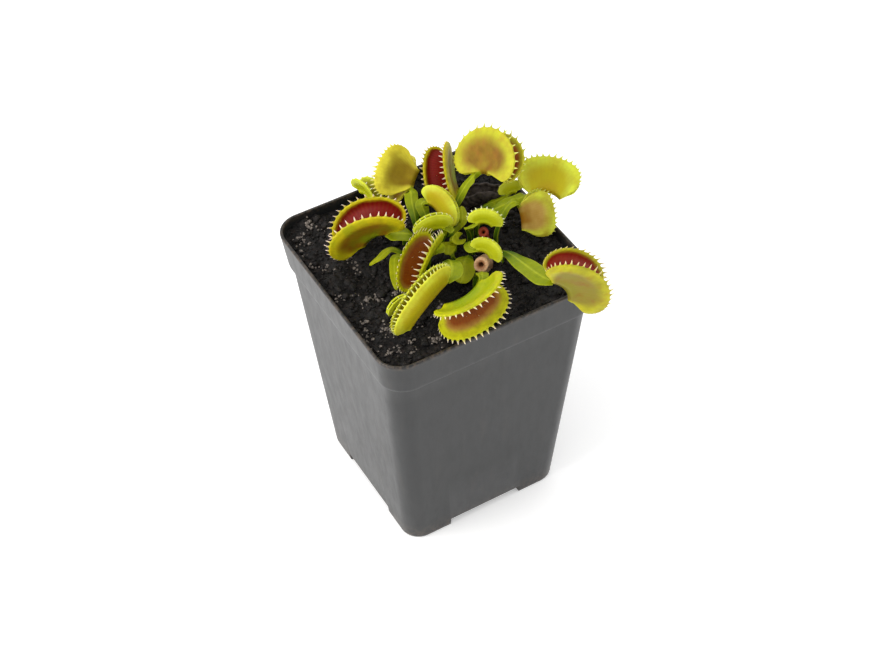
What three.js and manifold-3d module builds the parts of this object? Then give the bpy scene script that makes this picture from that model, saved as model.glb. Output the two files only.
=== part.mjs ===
// Potted Venus flytrap: a rosette of trap leaves in a square plastic nursery pot of peat.
// Millimetres, +Z up. The pot stands on z = 0 with its sides along X and Y.
import * as THREE from "three";
import { mergeVertices } from "three/addons/utils/BufferGeometryUtils.js";
import Module from "manifold-3d";

const wasm = await Module();
wasm.setup();
const V = (x, y, z) => new THREE.Vector3(x, y, z);
const rad = THREE.MathUtils.degToRad;
const lerp = THREE.MathUtils.lerp;
const smoothstep = THREE.MathUtils.smoothstep;

// ---- driving dimensions: pot ----
const RIM_HALF = 45; // half the outside width at the rim
const RIM_SKIRT_HALF = 43.4; // half width at the lower edge of the rim band
const BODY_TOP_HALF = 42; // half width of the body just under the band
const BODY_BASE_HALF = 33.9; // half width at the feet
const POT_HEIGHT = 114;
const BAND_HEIGHT = 15;
const RIM_CORNER = 10; // corner radius at the rim
const BASE_CORNER = 7.5; // corner radius at the feet
const WALL = 1.2;
const FLOOR_TOP = 5.4; // inside floor above the ground
const FOOT_HEIGHT = 4;
const FOOT_LENGTH = 18; // from the corner along each side
const DRAIN_RADIUS = 3.2;
const CORNER_STEPS = 4; // facets in a quarter-round corner

// ---- driving dimensions: soil ----
const SOIL_Z = 110; // mean level of the peat
const SOIL_GAP = 0.46;
const SOIL_CELLS = 14;
const HOLE_GAP = 0.8;
const SEAT_GAP = 0.3;
const ROOT_DEPTH = 6; // how far a stem stands in the peat
const CROWN = [6, -2]; // middle of the rosette

// ---- driving dimensions: leaves ----
const BLADE = 0.7; // thickness of a lobe or a wing
const KEEL = 1.5; // thickness of the lobe's hinge
const STEM_WIDTH = 2.6;
const STEM_RISE = 3.4; // a leaf goes straight up this far above the peat, then bends
const STEM_REACH = 6; // length of the stalk's last curve, in line with the hinge
const WING_FOLD = 0.15; // rise of a wing's edges, as a share of its half width
const TOOTH_SINK = 0.9;

// ---- leaves: where each root stands, the width of its winged stalk, and its trap ----
// root: x, y where the stalk leaves the peat. wing: greatest width of the stalk. rise: how far
// the stalk's curve starts upright. at: where the hinge starts. heading, pitch, roll: the hinge's
// direction in plan, its climb, and the turn about it, in degrees. hinge: its length. width: from
// hinge to rim. bow: bend of the hinge. fan: spread of the ribs beyond the bow. splay, flare: lean
// of a lobe at the hinge and at the rim band. band, hook: how far the rim band and the teeth turn in.
const TRAP = {
  hinge: 16, width: 12, bow: 60, fan: 95, ear: 0.5, splay: 22, flare: 48, band: 35,
  hook: 20, teeth: 13, tooth: 3, pitch: 0, roll: 0,
};

const LEAVES = {
  left_open: {
    root: [-4, 5], wing: 8,
    trap: { at: [-15, 9, 123], heading: 148, pitch: -35, roll: -4,
      hinge: 12, width: 14, bow: 72, fan: 110, splay: 28, flare: 38, teeth: 14 },
  },
  back_left: {
    root: [0, 14], wing: 5,
    trap: { at: [5.5, 28, 120.5], heading: 36, pitch: 30, roll: 98,
      hinge: 8.2, width: 14, bow: 22, fan: 66, splay: 21, flare: 50, teeth: 12 },
  },
  back_red: {
    root: [8, 13], wing: 4,
    trap: { at: [21, 20.2, 118.5], heading: 68, pitch: 38, roll: 50,
      hinge: 12, width: 11.5, bow: 30, fan: 75, splay: 23, flare: 46, teeth: 12 },
  },
  top: {
    root: [13, 10], wing: 5,
    trap: { at: [23.9, 8.4, 134.9], heading: -75, pitch: 22, roll: 45,
      hinge: 5.6, width: 15.7, bow: 59, fan: 150, splay: 13, flare: 22, band: 22, hook: 12 },
  },
  right_high: {
    root: [19.5, 3], wing: 6,
    trap: { at: [39, -1.7, 124.9], heading: -40, pitch: -4, roll: 62,
      hinge: 13.4, width: 12.4, bow: 86, fan: 17, ear: 0.35, splay: 15, flare: 22, hook: 12,
      teeth: 12 },
  },
  right_mid: {
    root: [23, -4.5], wing: 4, rise: 6,
    trap: { at: [32.2, -6, 126], heading: -102, pitch: -58, roll: 93,
      hinge: 10, width: 11.5, bow: 26, fan: 44, ear: 0.36, splay: 13, flare: 24, hook: 12,
      teeth: 10, tooth: 2.5 },
  },
  right_low: {
    root: [19, -14.5], wing: 8.5,
    trap: { at: [19, -47.5, 128.5], heading: -13, pitch: -58, roll: -7,
      hinge: 15, width: 14, bow: 74, fan: 86, splay: 15, flare: 34, teeth: 15 },
  },
  front_long: {
    root: [-1, -9], wing: 8,
    trap: { at: [-10, -25.5, 125.5], heading: -169, pitch: -32, roll: -18,
      hinge: 22, width: 9, bow: 12, fan: 96, splay: 40, flare: 2, band: 22, hook: 15, teeth: 16,
      tooth: 2.5 },
  },
  front_open: {
    root: [4.5, -21], wing: 4.5, rise: 4,
    trap: { at: [-0.5, -33, 126.5], heading: -178, pitch: -13, roll: 93,
      hinge: 17, width: 12.9, bow: 62, fan: 50, splay: 20, flare: 62 },
  },
  middle_left: {
    root: [-5, -3], wing: 7,
    trap: { at: [-4.5, -6, 120.5], heading: -145, pitch: -17, roll: -15,
      hinge: 14, width: 9.6, bow: 50, fan: 97, splay: 50, flare: 30, band: 25, hook: 38,
      teeth: 13, tooth: 4 },
  },
  small_left: {
    root: [1, 3], wing: 5,
    trap: { at: [4, 0.5, 123.5], heading: 166, pitch: -7, roll: -13,
      hinge: 8, width: 5.5, splay: 35, flare: 0, band: 20, teeth: 7, tooth: 1.4 },
  },
  small_top: {
    root: [14.5, -0.5], wing: 4,
    trap: { at: [13, -7, 127], heading: -41, pitch: -3, roll: 27,
      hinge: 7, width: 4.5, bow: 80, splay: 35, flare: 0, band: 20, teeth: 7, tooth: 2 },
  },
  small_front: {
    root: [12, -5.5], wing: 4,
    trap: { at: [7, -17.5, 125.5], heading: -54, pitch: -22, roll: 33,
      hinge: 7, width: 4.2, bow: 90, splay: 35, flare: 0, band: 20, teeth: 7, tooth: 1.1 },
  },
  arched: {
    root: [3, 9], wing: 5,
    trap: { at: [5, 14, 125], heading: -76, pitch: -29, roll: 42,
      hinge: 9, width: 7, bow: 70, splay: 35, flare: 2, band: 20, teeth: 8, tooth: 1.1 },
  },
  far_left: {
    root: [-6, 12], wing: 4,
    trap: { at: [-7.5, 36, 115.5], heading: 100, pitch: 0, roll: -21,
      hinge: 6, width: 6, teeth: 5, tooth: 2 },
  },
  back_small: {
    root: [23.5, 7.5], wing: 3,
    trap: { at: [34.5, 6.5, 120.5], heading: -23, pitch: 16, roll: 34,
      hinge: 4, width: 4, splay: 35, flare: 0, band: 20, teeth: 4, tooth: 1.2 },
  },
  low_front: {
    root: [-8, -10], wing: 4, rise: 3,
    trap: { at: [-23, -18, 114.5], heading: -175, pitch: -21, roll: -7,
      hinge: 5, width: 4, splay: 35, flare: 0, band: 20, teeth: 4, tooth: 1.2 },
  },
  dead: {
    root: [20, 13], wing: 4.5, rise: 4,
    trap: { at: [24.5, 14.6, 112.9], heading: -30, pitch: 16, roll: 5,
      hinge: 7.5, width: 7.6, splay: 50, flare: 20, teeth: 4, tooth: 1.2 },
  },
};

// Leaves without a trap: points from the root to the tip, greatest width, and where it lies.
const BLADES = {
  heart: { points: [[9.5, -8, SOIL_Z], [5.5, -11.5, 115.5], [2, -16, 114], [-0.5, -18.5, 113]],
    width: 8.4, broad: 0.7 },
  narrow: { points: [[-10, 3.5, SOIL_Z], [-14, 7.5, 115.5], [-19.5, 7, 114.5], [-24, 7, 113]],
    width: 3, broad: 0.6 },
  behind: { points: [[-9, -4.5, SOIL_Z], [-14.5, 3.5, 115], [-18.5, -2, 113.5], [-21.5, -9,
    112.5]], width: 3.6, broad: 0.6 },
  inner: { points: [[4.5, -4.5, SOIL_Z], [4.5, -2, 115.8], [2, -5.5, 115.3]], width: 5.5,
    broad: 0.6 },
  bud: { points: [[8.4, 5.2, SOIL_Z], [13, 3, 119.5], [15.5, 7.5, 123]], width: 3.6, broad: 0.7 },
  rolled: { points: [[8.5, 0, SOIL_Z], [7.5, -3, 118], [7, -2, 121]], width: 6, broad: 0.75 },
  pointed: { points: [[4.5, 4.5, SOIL_Z], [10.5, 9.5, 119], [9.5, 13, 123]], width: 3.4,
    broad: 0.5 },
};

// Flower stalks that have been cut off.
const STALKS = {
  flower: { root: [13, -14], cut: [5.5, -22.5, 122.5], radius: 2.4, bore: 1.0, side: [1, -0.6, 0] },
  old: { root: [18, -5.5], cut: [14.5, -9.5, 124], radius: 1.7, bore: 0.7, side: [1, 0, 0] },
};

const paint = {
  pot: new THREE.MeshStandardMaterial({ color: 0x4b4d4f, roughness: 0.5, metalness: 0 }),
  soil: new THREE.MeshStandardMaterial({ color: 0x1d1815, roughness: 0.95, metalness: 0 }),
  leaf: new THREE.MeshStandardMaterial({ color: 0xb4bf2a, roughness: 0.5, metalness: 0 }),
  dead: new THREE.MeshStandardMaterial({ color: 0x2f292a, roughness: 0.8, metalness: 0 }),
  stalk: new THREE.MeshStandardMaterial({ color: 0xc79a72, roughness: 0.6, metalness: 0 }),
};

// A closed three.js geometry as a manifold-3d solid.
function solidOf(geometry) {
  const bare = geometry.index ? geometry.clone() : geometry;
  bare.deleteAttribute("normal");
  bare.deleteAttribute("uv");
  const merged = mergeVertices(bare, 1e-4);
  return new wasm.Manifold(
    new wasm.Mesh({
      numProp: 3,
      vertProperties: new Float32Array(merged.attributes.position.array),
      triVerts: new Uint32Array(merged.index.array),
    }),
  );
}

function geometryOf(solid) {
  const m = solid.getMesh();
  const position = new Float32Array(m.numVert * 3);
  for (let i = 0; i < m.numVert; i++)
    position.set(m.vertProperties.subarray(i * m.numProp, i * m.numProp + 3), i * 3);
  const geometry = new THREE.BufferGeometry();
  geometry.setAttribute("position", new THREE.BufferAttribute(position, 3));
  geometry.setIndex(new THREE.BufferAttribute(new Uint32Array(m.triVerts), 1));
  geometry.computeVertexNormals();
  return geometry;
}

// A closed body through rings that hold the same number of points, counter-clockwise seen from
// the last ring.
function loft(rings) {
  const n = rings[0].length;
  const points = rings.flat();
  const index = [];
  for (let k = 0; k + 1 < rings.length; k++)
    for (let i = 0; i < n; i++) {
      const a = k * n + i;
      const b = k * n + ((i + 1) % n);
      index.push(a, b, b + n, a, b + n, a + n);
    }
  const last = (rings.length - 1) * n;
  for (let i = 1; i + 1 < n; i++) {
    index.push(0, i + 1, i);
    index.push(last, last + i, last + i + 1);
  }
  const geometry = new THREE.BufferGeometry().setFromPoints(points);
  geometry.setIndex(index);
  return geometry;
}

// ---- pot ----
// Square outline with round corners at height z.
function squareRing(half, corner, z) {
  const ring = [];
  for (let quarter = 0; quarter < 4; quarter++)
    for (let i = 0; i <= CORNER_STEPS; i++) {
      const angle = rad(90 * quarter + (90 * i) / CORNER_STEPS);
      const middle = rad(90 * quarter + 45);
      ring.push(
        V(
          (half - corner) * Math.SQRT2 * Math.cos(middle) + corner * Math.cos(angle),
          (half - corner) * Math.SQRT2 * Math.sin(middle) + corner * Math.sin(angle),
          z,
        ),
      );
    }
  return ring;
}

const bodyTop = POT_HEIGHT - BAND_HEIGHT;
const bodyHalf = (z) => lerp(BODY_BASE_HALF, BODY_TOP_HALF, z / bodyTop);
const bodyCorner = (z) => lerp(BASE_CORNER, RIM_CORNER - 1.5, z / bodyTop);

// The inside of the pot, drawn in by inset, up to height top.
function potInside(inset, top) {
  const wall = WALL + inset;
  const floor = FLOOR_TOP + inset;
  const shoulder = bodyTop + WALL;
  const inside = loft([
    squareRing(bodyHalf(floor) - wall, bodyCorner(floor) - wall, floor),
    squareRing(bodyHalf(bodyTop) - wall, bodyCorner(bodyTop) - wall, shoulder),
    squareRing(RIM_SKIRT_HALF - wall, RIM_CORNER - wall, shoulder + WALL),
    squareRing(RIM_HALF - wall, RIM_CORNER - wall, top),
  ]);
  return solidOf(inside);
}

function box(sizeX, sizeY, sizeZ, x, y, z) {
  return solidOf(new THREE.BoxGeometry(sizeX, sizeY, sizeZ).translate(x, y, z));
}

function makePot() {
  let pot = solidOf(
    loft([
      squareRing(BODY_BASE_HALF - 0.8, BASE_CORNER, 0),
      squareRing(BODY_BASE_HALF, BASE_CORNER, 0.8),
      squareRing(bodyHalf(bodyTop), bodyCorner(bodyTop), bodyTop),
      squareRing(RIM_SKIRT_HALF, RIM_CORNER, bodyTop + 0.01),
      squareRing(RIM_HALF, RIM_CORNER, POT_HEIGHT),
    ]),
  );
  pot = pot.subtract(potInside(0, POT_HEIGHT + 0.01));
  const gap = 2 * (BODY_BASE_HALF - FOOT_LENGTH);
  const notch = 2 * FOOT_HEIGHT;
  pot = pot.subtract(box(gap, 100, notch, 0, 0, 0));
  pot = pot.subtract(box(100, gap, notch, 0, 0, 0));
  for (const [x, y] of [[0, 0], [13, 0], [-13, 0], [0, 13], [0, -13]]) {
    const drain = new THREE.CylinderGeometry(DRAIN_RADIUS, DRAIN_RADIUS, 12, 10);
    drain.rotateX(Math.PI / 2).translate(x, y, 4);
    pot = pot.subtract(solidOf(drain));
  }
  return pot;
}

// ---- soil ----
// Small seeded generator, so that every build is the same.
function randomFrom(seed) {
  let state = seed;
  return () => {
    state = (state * 1664525 + 1013904223) % 4294967296;
    return state / 4294967296;
  };
}

// Height of the peat at x, y: low swells, a slight heap at the crown.
function soilHeight(x, y) {
  const swell = 0.7 * Math.sin(0.13 * x + 1) * Math.cos(0.11 * y) +
    0.5 * Math.sin(0.27 * x - 0.19 * y);
  const heap = 0.9 * Math.exp(-((x - CROWN[0]) ** 2 + (y - CROWN[1]) ** 2) / 320);
  return SOIL_Z + swell + heap;
}

function makeSoil(stems) {
  const random = randomFrom(7);
  const size = 2 * RIM_HALF;
  const top = new THREE.PlaneGeometry(size, size, SOIL_CELLS, SOIL_CELLS);
  const n = SOIL_CELLS + 1;
  const points = [];
  for (let i = 0; i < n * n; i++) {
    const x = top.attributes.position.getX(i) + 1.6 * (random() - 0.5);
    const y = top.attributes.position.getY(i) + 1.6 * (random() - 0.5);
    points.push(V(x, y, soilHeight(x, y) + 1.3 * (random() - 0.35)));
  }
  const border = [];
  for (let i = 0; i < SOIL_CELLS; i++) border.push(i);
  for (let i = 0; i < SOIL_CELLS; i++) border.push(SOIL_CELLS + i * n);
  for (let i = 0; i < SOIL_CELLS; i++) border.push(n * n - 1 - i);
  for (let i = 0; i < SOIL_CELLS; i++) border.push(n * SOIL_CELLS - i * n);
  const index = [...top.index.array];
  const count = points.length;
  const low = border.map((i) => points[i].clone().setZ(0));
  points.push(...low);
  for (let i = 0; i < border.length; i++) {
    const j = (i + 1) % border.length;
    index.push(border[i], border[j], count + j, border[i], count + j, count + i);
  }
  for (let i = 1; i + 1 < border.length; i++) index.push(count, count + i, count + i + 1);
  const block = new THREE.BufferGeometry().setFromPoints(points);
  block.setIndex(index);
  let soil = solidOf(block);
  soil = soil.intersect(potInside(SOIL_GAP, POT_HEIGHT));
  for (const [x, y, radius] of stems) {
    const hole = new THREE.CylinderGeometry(radius + HOLE_GAP, radius + HOLE_GAP, 40, 6);
    hole.rotateX(Math.PI / 2).translate(x, y, SOIL_Z - ROOT_DEPTH - SEAT_GAP + 20);
    soil = soil.subtract(solidOf(hole));
  }
  return soil;
}

// ---- leaves ----
// Right-handed frame of a trap: x along the hinge's chord, z out of the mouth.
function trapFrame(trap) {
  const [h, p, r] = [trap.heading, trap.pitch, trap.roll].map(rad);
  const x = V(Math.cos(p) * Math.cos(h), Math.cos(p) * Math.sin(h), Math.sin(p));
  const z0 = V(-Math.sin(p) * Math.cos(h), -Math.sin(p) * Math.sin(h), Math.cos(p));
  const y0 = z0.clone().cross(x);
  const z = z0.multiplyScalar(Math.cos(r)).addScaledVector(y0, Math.sin(r));
  return { x, y: z.clone().cross(x), z, at: V(...trap.at) };
}

// Point of the hinge at u, with its tangent and the way out of the mouth.
// The hinge is an arc of trap.bow degrees that bends away from the mouth.
function hinge(trap, frame, u) {
  const bow = rad(trap.bow || 0.01);
  const radius = trap.hinge / bow;
  const angle = bow * (0.5 - u);
  const along = radius * (Math.sin(bow / 2) - Math.sin(angle));
  const out = radius * (Math.cos(angle) - Math.cos(bow / 2));
  return {
    point: frame.at.clone().addScaledVector(frame.x, along).addScaledVector(frame.z, out),
    tangent: frame.x.clone().multiplyScalar(Math.cos(angle)).addScaledVector(frame.z, Math.sin(angle)),
    mouth: frame.z.clone().multiplyScalar(Math.cos(angle)).addScaledVector(frame.x, -Math.sin(angle)),
  };
}

const BAND_START = 0.8; // where the flat rim band begins on a lobe
// How far a lobe leans from the middle plane at v, in degrees.
function lean(trap, v) {
  if (v > BAND_START) return trap.flare - trap.band;
  return lerp(trap.splay, trap.flare, v / BAND_START);
}

// Length of the lobe from hinge to rim at u.
function reach(trap, u) {
  return trap.width * (1 - (1 - trap.ear) * Math.abs(2 * u - 1) ** 5);
}

// Direction of a rib at u that leans by angle degrees towards side.
function ribDirection(trap, frame, place, u, angle, side) {
  const fan = rad(trap.fan * (u - 0.5));
  return place.tangent
    .clone()
    .multiplyScalar(Math.sin(fan))
    .addScaledVector(place.mouth, Math.cos(fan) * Math.cos(rad(angle)))
    .addScaledVector(frame.y, Math.cos(fan) * Math.sin(rad(angle)) * side);
}

// Point of the trap at u along the hinge and w across it, from -1 at one rim to 1 at the other.
function trapPoint(trap, frame, u, w) {
  const place = hinge(trap, frame, u);
  const side = Math.sign(w);
  const v = Math.abs(w);
  const steps = 8;
  const point = place.point.clone();
  for (let i = 0; i < steps; i++) {
    const middle = (v * (i + 0.5)) / steps;
    point.addScaledVector(
      ribDirection(trap, frame, place, u, lean(trap, middle), side),
      (reach(trap, u) * v) / steps,
    );
  }
  return point;
}

function trapNormal(trap, frame, u, w) {
  const e = 0.01;
  const du = trapPoint(trap, frame, u + e, w).sub(trapPoint(trap, frame, u - e, w));
  const dw = trapPoint(trap, frame, u, w + e).sub(trapPoint(trap, frame, u, w - e));
  return du.cross(dw).normalize();
}

// Columns crowd towards the ends of the hinge, where the outline turns.
const columnAt = (share) => 0.5 - 0.5 * Math.cos(Math.PI * share);
const shareAt = (u) => Math.acos(1 - 2 * u) / Math.PI;

// Two lobes as one closed sheet, thicker at the hinge.
function makeLobes(trap, frame) {
  const small = trap.width < 9;
  const half0 = small ? [0, 0.4, BAND_START, 1] : [0, 0.28, 0.55, BAND_START, 1];
  const across = [...half0.slice(1).reverse().map((v) => -v), ...half0];
  const columns = small ? 6 : 8;
  const m = across.length;
  const inner = [];
  const outer = [];
  for (let i = 0; i <= columns; i++)
    for (const w of across) {
      const u = columnAt(i / columns);
      const p = trapPoint(trap, frame, u, w);
      const n = trapNormal(trap, frame, u, w);
      inner.push(p.clone().addScaledVector(n, BLADE / 2));
      outer.push(p.clone().addScaledVector(n, w === 0 ? BLADE / 2 - KEEL : -BLADE / 2));
    }
  const index = [];
  const half = inner.length;
  for (let i = 0; i < columns; i++)
    for (let j = 0; j + 1 < m; j++) {
      const a = i * m + j;
      index.push(a, a + m, a + m + 1, a, a + m + 1, a + 1);
      index.push(half + a, half + a + m + 1, half + a + m, half + a, half + a + 1, half + a + m + 1);
    }
  const wall = (a, b) => index.push(a, b, half + b, a, half + b, half + a);
  for (let i = 0; i < columns; i++) {
    wall((i + 1) * m, i * m);
    wall(i * m + m - 1, (i + 1) * m + m - 1);
  }
  for (let j = 0; j + 1 < m; j++) {
    wall(j, j + 1);
    wall(columns * m + j + 1, columns * m + j);
  }
  const geometry = new THREE.BufferGeometry().setFromPoints([...inner, ...outer]);
  geometry.setIndex(index);
  return { solid: solidOf(geometry), inner, outer, m, columns };
}

// Flat pointed teeth along both rims, with their roots inside the blade.
function makeTeeth(trap, frame, lobes) {
  const teeth = [];
  for (const side of [-1, 1])
    for (let k = 0; k < trap.teeth; k++) {
      const u = columnAt(lerp(0.1, 0.9, (k + 0.5) / trap.teeth));
      const column = Math.min(lobes.columns - 1, Math.floor(shareAt(u) * lobes.columns));
      const share = shareAt(u) * lobes.columns - column;
      const j = side < 0 ? 0 : lobes.m - 1;
      const a = column * lobes.m + j;
      const b = a + lobes.m;
      const rim = [a, b].map((i) => lobes.inner[i].clone().lerp(lobes.outer[i], 0.5));
      const root = rim[0].clone().lerp(rim[1], share);
      const along = rim[1].clone().sub(rim[0]).normalize();
      const through = lobes.inner[a].clone().sub(lobes.outer[a]).normalize();
      const place = hinge(trap, frame, u);
      const blade = ribDirection(trap, frame, place, u, lean(trap, 1), side);
      const point = ribDirection(trap, frame, place, u, lean(trap, 1) - trap.hook, side);
      const size = trap.tooth * (0.55 + 0.45 * Math.sin(Math.PI * u));
      const halfWidth = 0.2 * trap.tooth;
      const deep = root.clone().addScaledVector(blade, -TOOTH_SINK);
      const ring = [[-1, -1], [1, -1], [0, 1]].map(([s, t]) =>
        deep.clone().addScaledVector(along, s * halfWidth).addScaledVector(through, t * 0.3 * BLADE),
      );
      const tip = root.clone().addScaledVector(point, size);
      const geometry = new THREE.BufferGeometry().setFromPoints([...ring, tip]);
      geometry.setIndex([0, 2, 1, 0, 1, 3, 1, 2, 3, 2, 0, 3]);
      let tooth = solidOf(geometry);
      if (tooth.volume() < 0) {
        geometry.setIndex([0, 1, 2, 0, 3, 1, 1, 3, 2, 2, 3, 0]);
        tooth = solidOf(geometry);
      }
      teeth.push(tooth);
    }
  return teeth;
}

// Six-cornered section of a stalk or blade: thick in the middle, thin at the folded edges.
const ringAround = (centre, side, up, halfWidth, middle, edge, fold) =>
  [[-1, 1], [-1, -1], [0, -1], [1, -1], [1, 1], [0, 1]].map(([s, t]) =>
    centre
      .clone()
      .addScaledVector(side, s * halfWidth)
      .addScaledVector(up, (t * (s ? edge : middle)) / 2 + (s ? fold * halfWidth : 0)),
  );

// Loft whose faces look outward whichever way its rings run.
function outward(rings) {
  const solid = solidOf(loft(rings));
  return solid.volume() > 0 ? solid : solidOf(loft(rings.map((ring) => [...ring].reverse())));
}

// Flat blade along a curve, broadest at share broad of its length, with a rounded tip.
function makeBlade(blade) {
  const [root, ...way] = blade.points.map((p) => V(...p));
  const curve = new THREE.CatmullRomCurve3([root, root.clone().setZ(root.z + STEM_RISE - 1), ...way]);
  const foot = root.clone().setZ(SOIL_Z - ROOT_DEPTH);
  const startUp = root.clone().sub(way.at(-1)).setZ(0).normalize();
  const startSide = startUp.clone().cross(V(0, 0, 1));
  const rings = [ringAround(foot, startSide, startUp, 1.2, 1.8, 1.2, 0)];
  const stops = 8;
  for (let i = 0; i <= stops; i++) {
    const s = i / stops;
    const tangent = curve.getTangentAt(s);
    const up = startUp.clone().lerp(V(0, 0, 1), smoothstep(s, 0, 0.5));
    up.addScaledVector(tangent, -up.dot(tangent)).normalize();
    const side = up.clone().cross(tangent);
    const past = (s - blade.broad) / (1.02 - blade.broad);
    const swell = past < 0 ? smoothstep(s, 0.1, blade.broad) : Math.sqrt(1 - past ** 2);
    const halfWidth = past < 0 ? lerp(1.2, blade.width / 2, swell) : (blade.width / 2) * swell;
    const [middle, edge] = [lerp(1.8, 1.1, s), lerp(1.2, BLADE, s)];
    rings.push(ringAround(curve.getPointAt(s), side, up, halfWidth, middle, edge, 0.2 * swell));
  }
  return outward(rings);
}

// Ring of a round stem.
const circleRing = (centre, side, up, radius, n) =>
  Array.from({ length: n }, (_, i) => {
    const a = (2 * Math.PI * i) / n;
    return centre
      .clone()
      .addScaledVector(side, radius * Math.cos(a))
      .addScaledVector(up, radius * Math.sin(a));
  });

// Cut flower stalk: a round stem that leaves the peat upright, leans over and is open at the cut.
function makeStalk(stalk) {
  const [x, y] = stalk.root;
  const top = V(...stalk.cut);
  const knee = V(x, y, SOIL_Z + STEM_RISE);
  const curve = new THREE.QuadraticBezierCurve3(knee, knee.clone().lerp(top, 0.3).setZ(knee.z + 5), top);
  const side = V(...stalk.side).normalize();
  const rings = [circleRing(V(x, y, SOIL_Z - ROOT_DEPTH), side, V(0, 0, 1).cross(side), stalk.radius, 10)];
  for (const s of [0, 0.3, 0.6, 1]) {
    const up = curve.getTangent(s).cross(side).normalize();
    rings.push(circleRing(curve.getPoint(s), side, up, stalk.radius, 10));
  }
  const tip = curve.getTangent(1);
  const up = tip.clone().cross(side).normalize();
  const bore = [-5, 0.5].map((d) =>
    circleRing(top.clone().addScaledVector(tip, d), side, up, stalk.bore, 8));
  return outward(rings).subtract(outward(bore));
}

// Winged stalk of a leaf, from its root in the peat to the hinge of its trap.
function makePetiole(leaf, end, endTangent, endUp) {
  const [bx, by] = leaf.root;
  const start = V(bx, by, SOIL_Z + STEM_RISE);
  const rise = leaf.rise ?? 8;
  const curve = new THREE.CubicBezierCurve3(
    start,
    start.clone().add(V(0, 0, rise)),
    end.clone().addScaledVector(endTangent, -STEM_REACH),
    end.clone().addScaledVector(endTangent, 1),
  );
  const away = V(end.x - bx, end.y - by, 0).normalize();
  const stops = [0, 0.1, 0.24, 0.4, 0.56, 0.7, 0.82, 0.91, 1];
  const rings = [];
  const startUp = away.clone().negate();
  const startSide = startUp.clone().cross(V(0, 0, 1)).normalize();
  const foot = V(bx, by, SOIL_Z - ROOT_DEPTH);
  const [half, thick, thin] = [0.5, 0.8, 0.5].map((k) => k * STEM_WIDTH);
  rings.push(ringAround(foot, startSide, startUp, half, thick, thin, 0));
  for (const s of stops) {
    const t = curve.getTangent(s);
    const centre = curve.getPoint(s);
    const up = startUp.clone().lerp(V(0, 0, 1), smoothstep(s, 0, 0.45)).lerp(endUp, smoothstep(s, 0.8, 1));
    up.addScaledVector(t, -up.dot(t)).normalize();
    const side = up.clone().cross(t).normalize();
    const wing = smoothstep(s, 0.05, 0.75) * (1 - smoothstep(s, 0.84, 1));
    const halfWidth = lerp(half, leaf.wing / 2, wing);
    const middle = lerp(thick, 1.5, smoothstep(s, 0, 0.4));
    const edge = lerp(thin, BLADE, smoothstep(s, 0, 0.3));
    rings.push(ringAround(centre, side, up, halfWidth, middle, edge, WING_FOLD * wing));
  }
  return outward(rings);
}

function makeLeaf(leaf) {
  const trap = { ...TRAP, ...leaf.trap };
  const frame = trapFrame(trap);
  const lobes = makeLobes(trap, frame);
  const start = hinge(trap, frame, 0);
  const neck = start.point.clone().addScaledVector(start.mouth, -0.5);
  const stalk = makePetiole(leaf, neck, start.tangent, start.mouth);
  return wasm.Manifold.union([lobes.solid, stalk, ...makeTeeth(trap, frame, lobes)]);
}

const plant = new THREE.Group();
const add = (name, solid, material) => {
  const mesh = new THREE.Mesh(geometryOf(solid), material);
  mesh.name = name;
  plant.add(mesh);
};

const stems = [
  ...Object.values(LEAVES).map((leaf) => [...leaf.root, STEM_WIDTH / 2]),
  ...Object.values(BLADES).map((blade) => [blade.points[0][0], blade.points[0][1], 1.35]),
  ...Object.values(STALKS).map((stalk) => [...stalk.root, stalk.radius]),
];
add("pot", makePot(), paint.pot);
add("soil", makeSoil(stems), paint.soil);
for (const [name, leaf] of Object.entries(LEAVES))
  add("leaf_" + name, makeLeaf(leaf), name === "dead" ? paint.dead : paint.leaf);
for (const [name, blade] of Object.entries(BLADES)) add("blade_" + name, makeBlade(blade), paint.leaf);
for (const [name, stalk] of Object.entries(STALKS)) add("stalk_" + name, makeStalk(stalk), paint.stalk);

// The part's origin is under the middle of its bounding box, because a trap overhangs the rim.
const middle = new THREE.Box3().setFromObject(plant).getCenter(V(0, 0, 0));
for (const mesh of plant.children) mesh.geometry.translate(-middle.x, -middle.y, 0);

export default plant;
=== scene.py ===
"""Potted Venus flytrap: fine leaves, traps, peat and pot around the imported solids, with a studio.

Shapes are worked out in millimetres from the middle of the pot's base, and each finished piece is
then put in the frame's metres. A trap is two lobes of ribs that fan from a bowed hinge.
"""

import math
import random
from types import SimpleNamespace

import bmesh
import bpy
from bpy.props import FloatProperty, FloatVectorProperty, IntProperty, PointerProperty
from mathutils import Matrix, Vector, noise


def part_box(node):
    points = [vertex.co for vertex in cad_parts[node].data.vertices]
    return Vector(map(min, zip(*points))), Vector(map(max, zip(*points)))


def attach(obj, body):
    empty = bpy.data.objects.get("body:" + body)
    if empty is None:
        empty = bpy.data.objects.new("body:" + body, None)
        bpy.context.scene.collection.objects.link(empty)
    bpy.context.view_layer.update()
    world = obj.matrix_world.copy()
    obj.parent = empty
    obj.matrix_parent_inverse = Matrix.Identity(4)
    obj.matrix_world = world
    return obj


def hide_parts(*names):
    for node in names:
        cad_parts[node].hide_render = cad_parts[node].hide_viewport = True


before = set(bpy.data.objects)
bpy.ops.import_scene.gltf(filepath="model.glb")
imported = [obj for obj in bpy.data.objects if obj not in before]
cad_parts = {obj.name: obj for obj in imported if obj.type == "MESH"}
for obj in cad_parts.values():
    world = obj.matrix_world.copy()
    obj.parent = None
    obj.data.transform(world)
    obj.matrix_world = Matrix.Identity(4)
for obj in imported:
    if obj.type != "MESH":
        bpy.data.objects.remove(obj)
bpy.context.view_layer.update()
POT_LOW, POT_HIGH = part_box("pot")

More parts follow.
